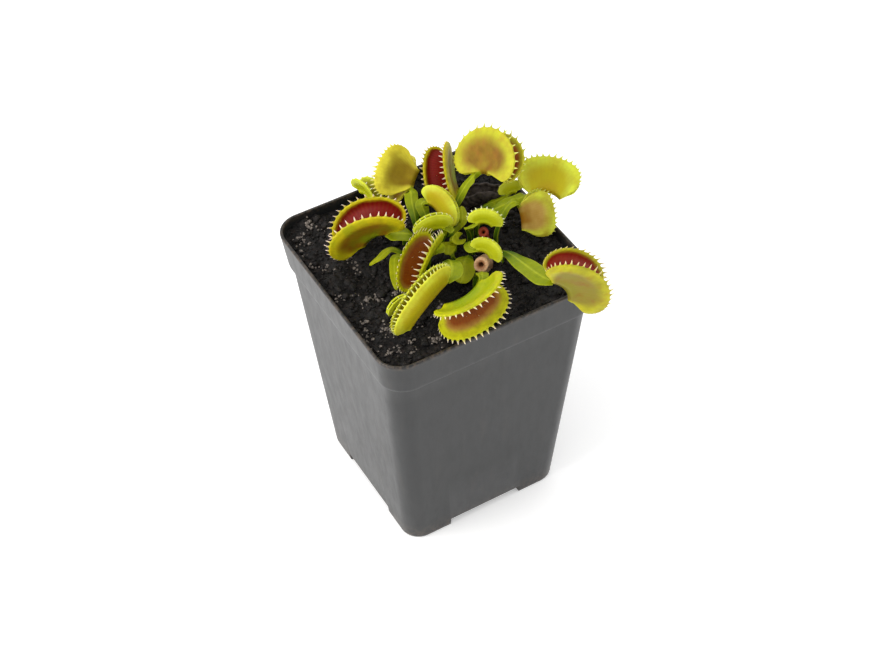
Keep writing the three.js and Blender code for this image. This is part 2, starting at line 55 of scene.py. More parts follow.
bl_info = {
    "name": "Potted Venus Flytrap",
    "version": (1, 0, 0),
    "blender": (4, 5, 0),
    "location": "View3D > Sidebar > Flytrap",
    "description": "Builds a Venus flytrap in a deep square nursery pot",
    "category": "Add Mesh",
}

MM = 0.001
POT_CENTRE = Vector(((POT_LOW.x + POT_HIGH.x) / 2, (POT_LOW.y + POT_HIGH.y) / 2, 0))
BODY = "root"
UV = "UVMap"
UP = Vector((0, 0, 1))

# ---- the pot, in millimetres ----
RIM_HALF = (POT_HIGH.x - POT_LOW.x) / 2 / MM
POT_HEIGHT = POT_HIGH.z / MM
BAND_HEIGHT = 15
SKIRT_HALF = RIM_HALF - 1.6
TOP_HALF = RIM_HALF - 3
BASE_HALF = 33.9
WALL = 1.2
FLOOR_TOP = 5.4
FOOT_HEIGHT = 4
FOOT_LENGTH = 18
RIM_CORNER = 10
TOP_CORNER = 8.5
BASE_CORNER = 7.5
DRAIN_RADIUS = 3.2
DRAINS = ((0, 0), (13, 0), (-13, 0), (0, 13), (0, -13))

# ---- the peat ----
SOIL_Z = 110
CROWN = (6, -2)

# ---- the leaves ----
BLADE = 0.7
KEEL = 1.5
STEM_WIDTH = 2.6
STEM_RISE = 3.4
STEM_REACH = 6
WING_FOLD = 0.15
WING_FROM = 1.4  # half width past which a section thins quickly from its midrib
SPINE_TIP = 0.14  # width of a spine's tip as a share of its foot's
CUT_ROUND, CUT_BENDS, CUT_RIBS = 30, 14, 14  # cells round a cut stalk, rings along it, its ribs
BAND_START = 0.8
TRAP = dict(
    hinge=16, width=12, bow=60, fan=95, ear=0.5, splay=22, flare=48, band=35,
    hook=20, teeth=13, tooth=3, pitch=0, roll=0, margin=0.1,
)
# root: where the stalk leaves the peat. wing: the stalk's greatest width. look: its colours.
# at: where the hinge starts. heading, pitch, roll: the hinge's direction in plan, its climb and
# the turn about it, in degrees. bow, fan: bend of the hinge and spread of the ribs. splay, flare:
# lean of a lobe at the hinge and at the rim band. band, hook: how far the band and teeth turn in.
# margin: share of a lobe's inner face that has the rim band's colour.
LEAVES = {
    "left_open": dict(root=(-4, 5), wing=8, look="red", at=(-15, 9, 123), heading=148, pitch=-35,
        roll=-4, hinge=12, width=14, bow=72, fan=110, splay=28, flare=38, teeth=14,
        margin=0.05),
    "back_left": dict(root=(0, 14), wing=5, look="olive", at=(5.5, 28, 120.5), heading=36,
        pitch=30, roll=98, hinge=8.2, width=14, bow=22, fan=66, splay=21, flare=50, teeth=12,
        margin=0.13),
    "back_red": dict(root=(8, 13), wing=4, look="red", at=(21, 20.2, 118.5), heading=68, pitch=38,
        roll=50, hinge=12, width=11.5, bow=30, fan=75, splay=23, flare=46, teeth=12,
        margin=0.05),
    "top": dict(root=(13, 10), wing=5, look="amber", at=(23.9, 8.4, 134.9), heading=-75, pitch=22,
        roll=45, hinge=5.6, width=15.7, bow=59, fan=150, splay=13, flare=22, band=22, hook=12),
    "right_high": dict(root=(19.5, 3), wing=6, look="gold", at=(39, -1.7, 124.9), heading=-40,
        pitch=-4, roll=62, hinge=13.4, width=12.4, bow=86, fan=17, ear=0.35, splay=15, flare=22,
        hook=12, teeth=12),
    "right_mid": dict(root=(23, -4.5), wing=4, rise=6, look="tan", at=(32.2, -6, 126),
        heading=-102, pitch=-58, roll=93, hinge=10, width=11.5, bow=26, fan=44, ear=0.36,
        splay=13, flare=24, hook=12, teeth=10, tooth=2.5),
    "right_low": dict(root=(19, -14.5), wing=8.5, look="rose", at=(19, -47.5, 128.5), heading=-13,
        pitch=-58, roll=-7, hinge=15, width=14, bow=74, fan=86, splay=15, flare=34, teeth=15,
        margin=0.06),
    "front_long": dict(root=(-1, -9), wing=8, look="gold", at=(-10, -25.5, 125.5), heading=-169,
        pitch=-32, roll=-18, hinge=22, width=9, bow=12, fan=96, splay=40, flare=2, band=22,
        hook=15, teeth=16, tooth=2.5),
    "front_open": dict(root=(4.5, -21), wing=4.5, rise=4, look="brown", at=(-0.5, -33, 126.5),
        heading=-178, pitch=-13, roll=93, hinge=17, width=12.9, bow=62, fan=50, splay=20,
        flare=62, margin=0.22),
    "middle_left": dict(root=(-5, -3), wing=7, look="brown", at=(-4.5, -6, 120.5), heading=-145,
        pitch=-17, roll=-15, hinge=14, width=9.6, bow=50, fan=97, splay=50, flare=30, band=25,
        hook=38, tooth=4),
    "small_left": dict(root=(1, 3), wing=5, look="lime", at=(4, 0.5, 123.5), heading=166,
        pitch=-7, roll=-13, hinge=8, width=5.5, splay=35, flare=0, band=20, teeth=7, tooth=1.4),
    "small_top": dict(root=(14.5, -0.5), wing=4, look="lime", at=(13, -7, 127), heading=-41,
        pitch=-3, roll=27, hinge=7, width=4.5, bow=80, splay=35, flare=0, band=20, teeth=7,
        tooth=2),
    "small_front": dict(root=(12, -5.5), wing=4, look="lime", at=(7, -17.5, 125.5), heading=-54,
        pitch=-22, roll=33, hinge=7, width=4.2, bow=90, splay=35, flare=0, band=20, teeth=7,
        tooth=1.1),
    "arched": dict(root=(3, 9), wing=5, look="gold", at=(5, 14, 125), heading=-76, pitch=-29,
        roll=42, hinge=9, width=7, bow=70, splay=35, flare=2, band=20, teeth=8, tooth=1.1),
    "far_left": dict(root=(-6, 12), wing=4, look="lime", at=(-7.5, 36, 115.5), heading=100,
        roll=-21, hinge=6, width=6, teeth=5, tooth=2),
    "back_small": dict(root=(23.5, 7.5), wing=3, look="lime", at=(34.5, 6.5, 120.5), heading=-23,
        pitch=16, roll=34, hinge=4, width=4, splay=35, flare=0, band=20, teeth=4, tooth=1.2),
    "low_front": dict(root=(-8, -10), wing=4, rise=3, look="lime", at=(-23, -18, 114.5),
        heading=-175, pitch=-21, roll=-7, hinge=5, width=4, splay=35, flare=0, band=20, teeth=4,
        tooth=1.2),
    "dead": dict(root=(20, 13), wing=4.5, rise=4, look="dead", at=(24.5, 14.6, 112.9),
        heading=-30, pitch=16, roll=5, hinge=7.5, width=7.6, splay=50, flare=20, teeth=4,
        tooth=1.2),
}
# Leaves without a trap: points from root to tip, greatest width, and where along it that lies.
BLADES = {
    "heart": dict(points=((9.5, -8, SOIL_Z), (5.5, -11.5, 115.5), (2, -16, 114), (-0.5, -18.5, 113)),
        width=8.4, broad=0.7),
    "narrow": dict(points=((-10, 3.5, SOIL_Z), (-14, 7.5, 115.5), (-19.5, 7, 114.5), (-24, 7, 113)),
        width=3, broad=0.6),
    "behind": dict(points=((-9, -4.5, SOIL_Z), (-14.5, 3.5, 115), (-18.5, -2, 113.5),
        (-21.5, -9, 112.5)), width=3.6, broad=0.6),
    "inner": dict(points=((4.5, -4.5, SOIL_Z), (4.5, -2, 115.8), (2, -5.5, 115.3)), width=5.5,
        broad=0.6),
    "bud": dict(points=((8.4, 5.2, SOIL_Z), (13, 3, 119.5), (15.5, 7.5, 123)), width=3.6,
        broad=0.7),
    "rolled": dict(points=((8.5, 0, SOIL_Z), (7.5, -3, 118), (7, -2, 121)), width=6, broad=0.75),
    "pointed": dict(points=((4.5, 4.5, SOIL_Z), (10.5, 9.5, 119), (9.5, 13, 123)), width=3.4,
        broad=0.5),
}
# Flower stalks that have been cut off.
STALKS = {
    "flower": dict(root=(13, -14), cut=(5.5, -22.5, 122.5), radius=2.4, bore=1.0, side=(1, -0.6, 0)),
    "old": dict(root=(18, -5.5), cut=(14.5, -9.5, 124), radius=1.7, bore=0.7, side=(1, 0, 0)),
}

# ---- the camera and studio ----
CAMERA_OFFSET = Vector((-228.777, -410.940, 561.002))
CAMERA_HEADING = -29.14
CAMERA_ELEVATION = 45.93
CAMERA_ROLL = -1.77
LENS = 72.91
KEY_HEADING, KEY_ELEVATION, KEY_DISTANCE = -100, 35, 1.1
KEY_AIM = Vector((0, 0, 0.08))
KEY_POWER, KEY_SIZE, KEY_TONE = 8, 0.8, (1.0, 0.985, 0.96)
FLOOR_GLOW = 0.25  # the floor's own light, as on a light table


def mix(a, b, t):
    return a + (b - a) * t


def smooth(value, low, high):
    """0 below low and 1 above high, with a soft step between them."""
    t = min(max((value - low) / (high - low), 0), 1)
    return t * t * (3 - 2 * t)


def linear(code):
    """A web colour code as linear red, green and blue."""
    parts = [int(code[i:i + 2], 16) / 255 for i in (0, 2, 4)]
    return tuple(c / 12.92 if c <= 0.04045 else ((c + 0.055) / 1.055) ** 2.4 for c in parts)


def tinted(rgb, k):
    """A colour made k times as bright."""
    return tuple(min(c * k, 1) for c in rgb)


# ---- what a user can change ----
def colour(label, text, code):
    """A colour property."""
    return FloatVectorProperty(
        name=label, description=text, default=linear(code), subtype="COLOR", size=3, min=0, max=1
    )


COLOURED = {
    # The hinge colour is the lobe's own deeper tone with painted shade of the crease between the lobes.
    "hinge": ("Hinge", "Crease at the hinge"),
    "inside": ("Inside", "Middle of a lobe's inner face"),
    # On red and rose traps the darker inside edge is partly painted shadow under the rim band's lip, over
    # the lobe's own red.
    "edge": ("Inside edge", "Inner face next to the rim band"),
    "band": ("Rim band", "Band along the rim"),
    "back": ("Back", "Outer face"),
    "keel": ("Keel", "Outer face along the hinge"),
    "tooth": ("Tooth tips", "Tips of the teeth"),
}


def trap_colours(kind, *codes):
    """A property group that holds the colours of one kind of trap."""
    fields = {
        part: colour(label, f"{text} of a {kind} trap", code)
        for (part, (label, text)), code in zip(COLOURED.items(), codes)
    }
    title = f"FLYTRAP_PG_{kind}_trap"
    return type(title, (bpy.types.PropertyGroup,), {"__annotations__": fields})


# Hinge colours hold painted shade of the crease; the darker red and rose edges are partly painted shadow
# under the band's lip.
TRAP_COLOURS = {
    kind: trap_colours(kind, *codes)
    for kind, codes in {
        "red": ("560a0b", "781210", "680d09", "bcae14", "8a6410", "7c8a10", "f2d6c8"),
        "rose": ("6c1410", "a03c30", "8a1c12", "b2ac20", "88782a", "847e20", "ead2a0"),
        "brown": ("461408", "7c3c0a", "98702c", "b0b00c", "9ca40e", "809410", "f2dcc0"),
        "amber": ("7c3210", "96501a", "a8602c", "b4b428", "785610", "9a8420", "ccd070"),
        "tan": ("7c5014", "a47c34", "ac9a42", "b8be34", "b09048", "8a5e14", "ccd070"),
        "gold": ("8c6c12", "a48c14", "b0a820", "c8d03c", "bcb018", "b49c1a", "e0e090"),
        "olive": ("6e280c", "8c5012", "988222", "c8be34", "7a6208", "8c780c", "e4d890"),
        "lime": ("7c6008", "9a9612", "aab01a", "c4ca34", "b0b412", "a0a60e", "f2f2cc"),
        "dead": ("1c1817", "332c2a", "443b38", "625854", "3c3532", "241f1d", "6e6661"),
    }.items()
}


class FLYTRAP_PG_settings(bpy.types.PropertyGroup):
    """Sizes, counts and colours of the plant, its peat and its pot."""

    scallop: FloatProperty(
        name="Rim scallop", description="How far the rim swells at the foot of each tooth",
        default=0.16 * MM, min=0, max=1 * MM, unit="LENGTH",
    )
    rim_wave: FloatProperty(
        name="Rim wave", description="Slow wave of the lobes towards their rims",
        default=0.45 * MM, min=0, max=2 * MM, unit="LENGTH",
    )
    lip_radius: FloatProperty(
        name="Lip radius", description="Rounding of the pot's lip",
        default=0.55 * MM, min=0.1 * MM, max=0.6 * MM, unit="LENGTH",
    )
    crumbs: IntProperty(name="Crumbs", description="Loose peat crumbs", default=2300, min=0)
    lumps: IntProperty(name="Lumps", description="Larger peat lumps", default=420, min=0)
    grit: IntProperty(name="Grit", description="Clusters of pale grit", default=74, min=0)
    fibres: IntProperty(name="Fibres", description="Dry roots on the peat", default=70, min=0)
    tufts: IntProperty(name="Tufts", description="Tufts of dark moss", default=60, min=0)
    seed: IntProperty(name="Seed", description="Seed of every random draw", default=11)
    # The foot colours of stalks and blades are a deeper green darkened by painted shade near the peat.
    stalk_low: colour("Stalk foot", "Winged stalks near the peat", "486a0a")
    stalk_high: colour("Stalk", "Winged stalks near the trap", "8e980a")
    blade_low: colour("Blade foot", "Small blades near the peat", "4a720a")
    blade_high: colour("Blade", "Small blades near the tip", "a6a80c")
    cut: colour("Cut", "Fresh cut of a flower stalk", "cca27a")
    bark: colour("Old stalk", "Old flower stalk", "6c1e0c")
    peat: colour("Peat", "Dark peat", "0b0908")
    peat_light: colour("Dry peat", "Peat where it is dry", "221a16")
    grit_tint: colour("Grit tint", "Pale grit", "7e746c")
    moss: colour("Moss", "Dark moss", "1c1a15")
    plastic: colour("Plastic", "The pot's plastic", "191a1b")
    dust: colour("Dust", "Dust and dried peat on the pot", "4d4238")


def settings():
    return bpy.context.scene.flytrap


def colours_of(kind):
    return getattr(bpy.context.scene, f"flytrap_{kind}")


# ---- making meshes ----
def add_skin(bm, rows, cols, place, paint=None, weld=1e-4):
    """A grid bent by place(i, j), with its meeting edges welded; paint gives a face's uv and slot.

    i runs over 0..rows and j over 0..cols. paint(t, s, i, j) takes a corner's shares along the rows
    and columns with the face's own row and column, and returns its uv and the face's slot.
    """
    layer = bm.loops.layers.uv.get(UV) or bm.loops.layers.uv.new(UV)
    made = bmesh.ops.create_grid(bm, x_segments=cols, y_segments=rows, size=1, calc_uvs=True)["verts"]
    faces = {face for vert in made for face in vert.link_faces}
    for vert in made:
        i = round((vert.co.y + 1) / 2 * rows)
        j = round((vert.co.x + 1) / 2 * cols)
        vert.co = place(i, j)
    for face in faces:
        face.smooth = True
        if not paint:
            continue
        shares = [loop[layer].uv.copy() for loop in face.loops]
        i = int(min(t for _, t in shares) * rows + 0.5)
        j = int(min(s for s, _ in shares) * cols + 0.5)
        for loop, (s, t) in zip(face.loops, shares):
            loop[layer].uv, face.material_index = paint(t, s, i, j)
    bmesh.ops.remove_doubles(bm, verts=made, dist=weld)


def add_spine(bm, start, turn, end, half_width, along, half_depth, through, slot, rows, cols, foot=0.0):
    """A pointed spine that leaves start towards turn and bends to end, closed at both ends.

    foot says how much broader the spine is where it leaves its root.
    """

    def place(i, j):
        t = max(i - 1, 0) / (rows - 1)
        middle = start * (1 - t) ** 2 + turn * (2 * t * (1 - t)) + end * t * t
        size = 0 if i in (0, rows) else mix(1, SPINE_TIP, t)
        a = 2 * math.pi * j / cols
        wide = along * (half_width * (1 + foot * (1 - t) ** 4) * math.cos(a))
        return middle + (wide + through * (half_depth * math.sin(a))) * size

    add_skin(bm, rows, cols, place, lambda t, s, i, j: ((t, s), slot))


def mark_sharp(bm, degrees):
    """Shades an edge hard where its faces meet at more than the degrees."""
    for edge in bm.edges:
        edge.smooth = edge.calc_face_angle(0) < math.radians(degrees)


def object_of(name, bm, sharp=None):
    """Turns a bmesh in millimetres into an object in the frame's metres, and frees it."""
    bmesh.ops.recalc_face_normals(bm, faces=bm.faces[:])
    bmesh.ops.scale(bm, vec=(MM, MM, MM), verts=bm.verts[:])
    bmesh.ops.translate(bm, vec=POT_CENTRE, verts=bm.verts[:])
    if sharp:
        mark_sharp(bm, sharp)
    mesh = bpy.data.meshes.new(name)
    bm.to_mesh(mesh)
    bm.free()
    made = bpy.data.objects.new(name, mesh)
    bpy.context.scene.collection.objects.link(made)
    return made


def finish_piece(name, bm, materials, nodes=(), sharp=None):
    """Turns a bmesh into a piece of the part, which rides its body and has its slot."""
    piece = object_of(name, bm, sharp)
    for material in materials:
        piece.data.materials.append(material)
    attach(piece, BODY)
    if nodes:
        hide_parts(*nodes)
    return piece


# ---- materials ----
class Finish:
    """A material built up node by node around one Principled shader."""

    def __init__(self, name, **sockets):
        self.material = bpy.data.materials.new(name)
        self.material.use_nodes = True
        self.tree = self.material.node_tree
        self.shader = self.tree.nodes["Principled BSDF"]
        for socket, value in sockets.items():
            self.shader.inputs[socket.replace("_", " ")].default_value = value

    def node(self, kind, inputs=None, **options):
        node = self.tree.nodes.new(f"ShaderNode{kind}")
        for option, value in options.items():
            setattr(node, option, value)
        for key, value in (inputs or {}).items():
            self.feed(node.inputs[key], value)
        return node

    def feed(self, socket, value):
        if isinstance(value, bpy.types.NodeSocket):
            self.tree.links.new(value, socket)
        else:
            socket.default_value = value

    def place(self):
        return self.node("TexCoord").outputs["Object"]

    def uv(self):
        parts = self.node("SeparateXYZ", {"Vector": self.node("UVMap", uv_map=UV).outputs["UV"]})
        return parts.outputs["X"], parts.outputs["Y"]

    def math(self, operation, a, b=0.0, c=0.0):
        return self.node("Math", {0: a, 1: b, 2: c}, operation=operation).outputs["Value"]

    def noise(self, size, detail=3.0, roughness=0.55, stretch=None):
        """Noise whose lumps are about size millimetres."""
        where = self.place()
        if stretch:
            where = self.node("Mapping", {"Vector": where, "Scale": stretch}).outputs["Vector"]
        made = self.node(
            "TexNoise",
            {"Vector": where, "Scale": 1 / (size * MM), "Detail": detail, "Roughness": roughness},
        )
        return made.outputs["Fac"]

    def cells(self, size):
        """Distance to the middle of cells of about size millimetres."""
        made = self.node("TexVoronoi", {"Vector": self.place(), "Scale": 1 / (size * MM)})
        return made.outputs["Distance"]

    def ramp(self, factor, stops, ease=False):
        """Colours that the factor runs through; each stop is a place and its colour."""
        node = self.node("ValToRGB", {"Fac": factor})
        ramp = node.color_ramp
        ramp.interpolation = "EASE" if ease else "LINEAR"
        for element, (position, rgb) in zip(ramp.elements, (stops[0], stops[-1])):
            element.position, element.color = position, (*rgb, 1)
        for position, rgb in stops[1:-1]:
            ramp.elements.new(position).color = (*rgb, 1)
        return node.outputs["Color"]

    def grey(self, factor, low, high):
        """The factor stretched from low..high to 0..1."""
        node = self.node("MapRange", {"Value": factor, "From Min": low, "From Max": high})
        return node.outputs["Result"]

    def between(self, factor, low, high):
        """Low where the factor is 0, high where it is 1."""
        node = self.node("MapRange", {"Value": factor, "To Min": low, "To Max": high})
        return node.outputs["Result"]

    def layer(self, factor, under, over):
        """The colour under, covered by the colour over where the factor is 1."""
        node = self.node("Mix", data_type="RGBA")
        self.feed(node.inputs[0], factor)
        for index, value in ((6, under), (7, over)):
            self.feed(node.inputs[index], value if isinstance(value, bpy.types.NodeSocket) else (*value, 1))
        return node.outputs[2]

    def waves(self, along, count, shift=0.0):
        """Waves between 0 and 1 that run along a coordinate."""
        sine = self.math("SINE", self.math("MULTIPLY_ADD", along, count, shift))
        return self.math("MULTIPLY_ADD", sine, 0.5, 0.5)

    def drifted(self, value, size, amount):
        """The value, moved either way by half of amount in patches of size millimetres."""
        drift = self.math("MULTIPLY_ADD", self.noise(size), amount, -amount / 2)
        return self.math("ADD", value, drift)

    def mottle(self, base, over, share, spread, *grain, **options):
        """The base with up to share of another colour, where noise rises through spread."""
        patch = self.grey(self.noise(*grain, **options), *spread)
        return self.layer(self.between(patch, 0.0, share), base, over)

    def relief(self, height, depth, strength, under=None):
        """Bump of depth millimetres."""
        inputs = {"Height": height, "Distance": depth * MM, "Strength": strength}
        node = self.node("Bump", inputs)
        if under:
            self.feed(node.inputs["Normal"], under)
        return node.outputs["Normal"]

    def done(self, **links):
        for socket, value in links.items():
            self.feed(self.shader.inputs[socket.replace("_", " ")], value)
        return self.material

    def varied(self, base, normal, size, low, high):
        """The finished material, its roughness low to high in patches of size millimetres."""
        roughness = self.between(self.noise(size), low, high)
        return self.done(Base_Color=base, Roughness=roughness, Normal=normal)


def skin_finish(name, glow, **sockets):
    """A leaf's shader, which lets a little light through."""
    return Finish(
        name, Subsurface_Weight=glow, Subsurface_Radius=(1.0, 0.9, 0.25),
        Subsurface_Scale=0.9 * MM, Specular_IOR_Level=0.12, **sockets,
    )


def lobe_inside(kind):
    """The inner face of a lobe: deep colour with fine glands, darkened at the hinge partly as painted shade
    of the crease, and edged where the rim band begins, on red and rose traps partly as painted shadow under
    the band's lip.
    """
    tones = colours_of(kind)
    finish = skin_finish(f"lobe_inside_{kind}", 0.16)
    u, across = finish.uv()
    across = finish.drifted(across, 3.5, 0.1)
    # Painted shade: the hinge stop darkens the crease, and on red and rose traps the edge stop is partly a
    # painted shadow under the band's lip.
    base = finish.ramp(across, (
        (0.0, tones.hinge), (0.22, tones.inside), (0.56, tones.inside), (0.7, tones.edge),
        (0.85, tones.band), (1.0, tinted(tones.band, 1.1)),
    ))
    base = finish.mottle(base, tinted(tones.hinge, 1.15), 0.3, (0.42, 0.72), 2.6, 4)
    base = finish.layer(finish.between(finish.waves(u, 170.0), 0.0, 0.02), base, tones.band)
    gland = finish.grey(finish.cells(0.6), 0.05, 0.3)
    inner = finish.grey(across, COLOUR_EDGE, 0.7)
    shade = finish.math("MULTIPLY", finish.between(gland, 0.22, 0.0), inner)
    base = finish.layer(shade, base, tinted(tones.hinge, 0.8))
    normal = finish.relief(finish.cells(0.42), 0.04, 0.5)
    normal = finish.relief(finish.noise(1.2), 0.1, 0.4, normal)
    return finish.varied(base, normal, 2.2, 0.22, 0.42)


def lobe_back(kind):
    """The outer face of a lobe: a darker chamber inside a pale margin, with faint veins."""
    tones = colours_of(kind)
    finish = skin_finish(f"lobe_back_{kind}", 0.16)
    u, across = finish.uv()
    base = finish.ramp(finish.drifted(across, 5.0, 0.16), (
        (0.0, tones.keel), (0.42, tones.back), (0.56, tones.back), (0.88, tones.band),
        (1.0, tinted(tones.band, 1.15)),
    ), ease=True)
    base = finish.mottle(base, tones.keel, 0.55, (0.4, 0.66), 6.0)
    base = finish.mottle(base, tones.edge, 0.3, (0.5, 0.75), 4.3, 2)
    veins = finish.math("POWER", finish.waves(u, 120.0), 6.0)
    base = finish.layer(finish.between(veins, 0.0, 0.08), base, tinted(tones.keel, 0.8))
    base = finish.mottle(base, tinted(tones.keel, 0.5), 0.35, (0.70, 0.76), 0.7, 2)
    normal = finish.relief(veins, 0.04, 0.4)
    normal = finish.relief(finish.noise(0.9), 0.05, 0.4, normal)
    return finish.varied(base, normal, 3.0, 0.3, 0.52)


def tooth_finish(kind):
    """Teeth: the band's colour at the foot, pale and waxy at the tip."""
    tones = colours_of(kind)
    finish = skin_finish(f"teeth_{kind}", 0.3, Roughness=0.36)
    along, _ = finish.uv()
    base = finish.ramp(finish.drifted(along, 0.7, 0.2), (
        (0.0, tones.band), (0.42, tones.band), (0.8, tones.tooth), (1.0, tinted(tones.tooth, 1.05)),
    ))
    return finish.done(Base_Color=base, Normal=finish.relief(finish.noise(0.35), 0.03, 0.4))


def stalk_finish(name, low, high, rib):
    """Winged stalks and blades: greener at the foot and darkened towards the peat as painted shade, pale
    midrib, fine parallel veins.
    """
    finish = skin_finish(name, 0.14)
    along, across = finish.uv()
    # Painted shade: the foot colour, and its darker tint at the very bottom, darken stalks and blades
    # towards the peat.
    base = finish.ramp(finish.drifted(along, 4.0, 0.3), (
        (0.0, tinted(low, 0.6)), (0.28, low), (0.62, high), (1.0, high),
    ))
    side = finish.math("ABSOLUTE", across)
    middle = finish.grey(side, 0.13, 0.03)
    base = finish.layer(finish.between(middle, 0.0, 0.5), base, rib)
    veins = finish.waves(across, 44.0)
    base = finish.layer(finish.between(veins, 0.0, 0.13), base, tinted(low, 0.8))
    margin = finish.grey(side, 0.86, 1.0)
    base = finish.layer(finish.between(margin, 0.0, 0.55), base, rib)
    base = finish.mottle(base, tinted(low, 0.9), 0.3, (0.34, 0.7), 1.8, 4)
    normal = finish.relief(veins, 0.05, 0.5)
    normal = finish.relief(finish.noise(0.8), 0.06, 0.5, normal)
    return finish.varied(base, normal, 2.5, 0.3, 0.5)


def dead_finish():
    """A blackened, shrivelled leaf with paler veins and dry edges."""
    tones = colours_of("dead")
    finish = Finish("dead_leaf", Specular_IOR_Level=0.3)
    u, _ = finish.uv()
    streak = finish.waves(u, 60.0, finish.math("MULTIPLY", finish.noise(5.0), 9.0))
    base = finish.ramp(finish.noise(1.9, 5, 0.65), (
        (0.3, tones.hinge), (0.48, tones.inside), (0.6, tones.edge), (0.75, tones.band),
    ))
    base = finish.layer(finish.between(streak, 0.0, 0.35), base, tones.band)
    normal = finish.relief(finish.noise(1.0, 5, 0.65), 0.35, 0.8)
    normal = finish.relief(streak, 0.1, 0.6, normal)
    return finish.varied(base, normal, 1.4, 0.42, 0.85)


def cut_finish(name, outside, cut, heart):
    """A cut stalk: its ribbed skin, darker towards the peat, and a pale pithy cut round a darker bore,
    painted darker still towards its bottom as painted shade.
    """
    finish = Finish(name, Roughness=0.6, Subsurface_Weight=0.08, Subsurface_Scale=0.6 * MM,
        Specular_IOR_Level=0.25)
    along, round_ = finish.uv()
    # Painted shade: the last stop darkens the bore towards its bottom.
    base = finish.ramp(finish.drifted(along, 1.1, 0.14), (
        (0.0, tinted(outside, 0.45)), (0.3, outside), (0.56, tinted(outside, 1.15)), (0.64, cut),
        (0.78, cut), (0.85, heart), (1.0, tinted(heart, 0.8)),
    ))
    base = finish.mottle(base, tinted(outside, 0.7), 0.5, (0.4, 0.7), 0.7, 4)
    ribs = finish.math("SINE", finish.math("MULTIPLY", round_, 2 * math.pi * CUT_RIBS))
    normal = finish.relief(ribs, 0.08, 0.5)
    normal = finish.relief(finish.noise(0.5, 4), 0.1, 0.7, normal)
    return finish.done(Base_Color=base, Normal=normal)


def peat_finish():
    """Moist peat: near black, browner where dry, with wet glints."""
    values = settings()
    finish = Finish("peat", Specular_IOR_Level=0.3)
    base = finish.ramp(finish.noise(2.2, 6, 0.65), (
        (0.32, tinted(values.peat, 0.55)), (0.5, values.peat), (0.63, values.peat_light),
        (0.74, tinted(values.peat_light, 1.5)),
    ))
    base = finish.mottle(base, tinted(values.peat_light, 1.9), 0.7, (0.66, 0.72), 0.45, 2)
    wet = finish.grey(finish.noise(6.0, 3), 0.36, 0.62)
    normal = finish.relief(finish.noise(0.55, 5, 0.7), 0.5, 0.9)
    normal = finish.relief(finish.noise(1.8, 4), 0.8, 0.6, normal)
    return finish.done(Base_Color=base, Roughness=finish.between(wet, 0.34, 0.95), Normal=normal)


def crumb_finish():
    """Peat crumbs, each a little different in tone."""
    values = settings()
    finish = Finish("peat_crumb", Specular_IOR_Level=0.3)
    base = finish.ramp(finish.noise(1.5, 5, 0.7), (
        (0.3, tinted(values.peat, 0.5)), (0.5, values.peat), (0.62, values.peat_light),
        (0.72, tinted(values.peat_light, 1.7)),
    ))
    base = finish.mottle(base, tinted(values.grit_tint, 0.8), 0.5, (0.62, 0.7), 0.4)
    normal = finish.relief(finish.noise(0.4, 5, 0.7), 0.3, 0.9)
    return finish.varied(base, normal, 2.0, 0.35, 0.95)


def grit_finish():
    """Pale grit, mottled with patches of peat brown."""
    values = settings()
    finish = Finish("pale_grit", Specular_IOR_Level=0.5)
    base = finish.ramp(finish.noise(0.7, 5, 0.7), (
        (0.34, tinted(values.peat_light, 0.9)), (0.46, tinted(values.grit_tint, 0.45)),
        (0.56, values.grit_tint), (0.72, tinted(values.grit_tint, 1.9)),
    ))
    normal = finish.relief(finish.noise(0.3, 5, 0.7), 0.25, 0.9)
    return finish.varied(base, normal, 1.2, 0.3, 0.85)


def moss_finish():
    """Dark, dull moss with paler tips."""
    values = settings()
    finish = Finish("dark_moss", Roughness=0.75, Specular_IOR_Level=0.35)
    base = finish.ramp(finish.noise(1.2, 4), (
        (0.35, tinted(values.moss, 0.4)), (0.55, values.moss), (0.72, tinted(values.moss, 2.2)),
    ))
    return finish.done(Base_Color=base, Normal=finish.relief(finish.noise(0.3), 0.1, 0.6))


def fibre_finish():
    """Dry roots, brown to grey."""
    values = settings()
    finish = Finish("dry_fibre", Roughness=0.8)
    base = finish.ramp(finish.noise(2.0, 3), (
        (0.35, values.peat), (0.55, tinted(values.peat_light, 1.6)),
        (0.75, tinted(values.grit_tint, 0.9)),
    ))
    return finish.done(Base_Color=base)


def plastic_finish():
    """The pot's moulded plastic: near black, satin, with scuffs and dust from the peat."""
    values = settings()
    finish = Finish("pot_plastic", Specular_IOR_Level=0.44)
    height = finish.node("SeparateXYZ", {"Vector": finish.place()}).outputs["Z"]
    base = finish.ramp(finish.noise(26.0, 4), (
        (0.3, tinted(values.plastic, 0.92)), (0.7, tinted(values.plastic, 1.08)),
    ))
    base = finish.mottle(base, values.dust, 0.16, (0.56, 0.8), 5.0, 5, 0.6, stretch=(1, 1, 0.16))
    near_lip = finish.grey(height, (POT_HEIGHT - 2.2) * MM, (POT_HEIGHT - 0.2) * MM)
    near_foot = finish.grey(height, 9 * MM, 0.0)
    grime = finish.grey(finish.noise(1.7, 5, 0.7), 0.42, 0.62)
    ends = finish.math("MAXIMUM", near_lip, finish.math("MULTIPLY", near_foot, 0.8))
    base = finish.layer(finish.math("MULTIPLY", ends, grime), base, values.dust)
    base = finish.mottle(base, tinted(values.dust, 0.5), 0.6, (0.70, 0.74), 0.8, 3, 0.6)
    grain = finish.relief(finish.noise(0.5, 2), 0.03, 0.35)
    normal = finish.relief(finish.noise(18.0, 2), 0.4, 0.2, grain)
    scuff = finish.grey(finish.noise(3.2, 6, 0.7, stretch=(1, 1, 0.3)), 0.4, 0.7)
    return finish.done(Base_Color=base, Roughness=finish.between(scuff, 0.35, 0.43), Normal=normal)


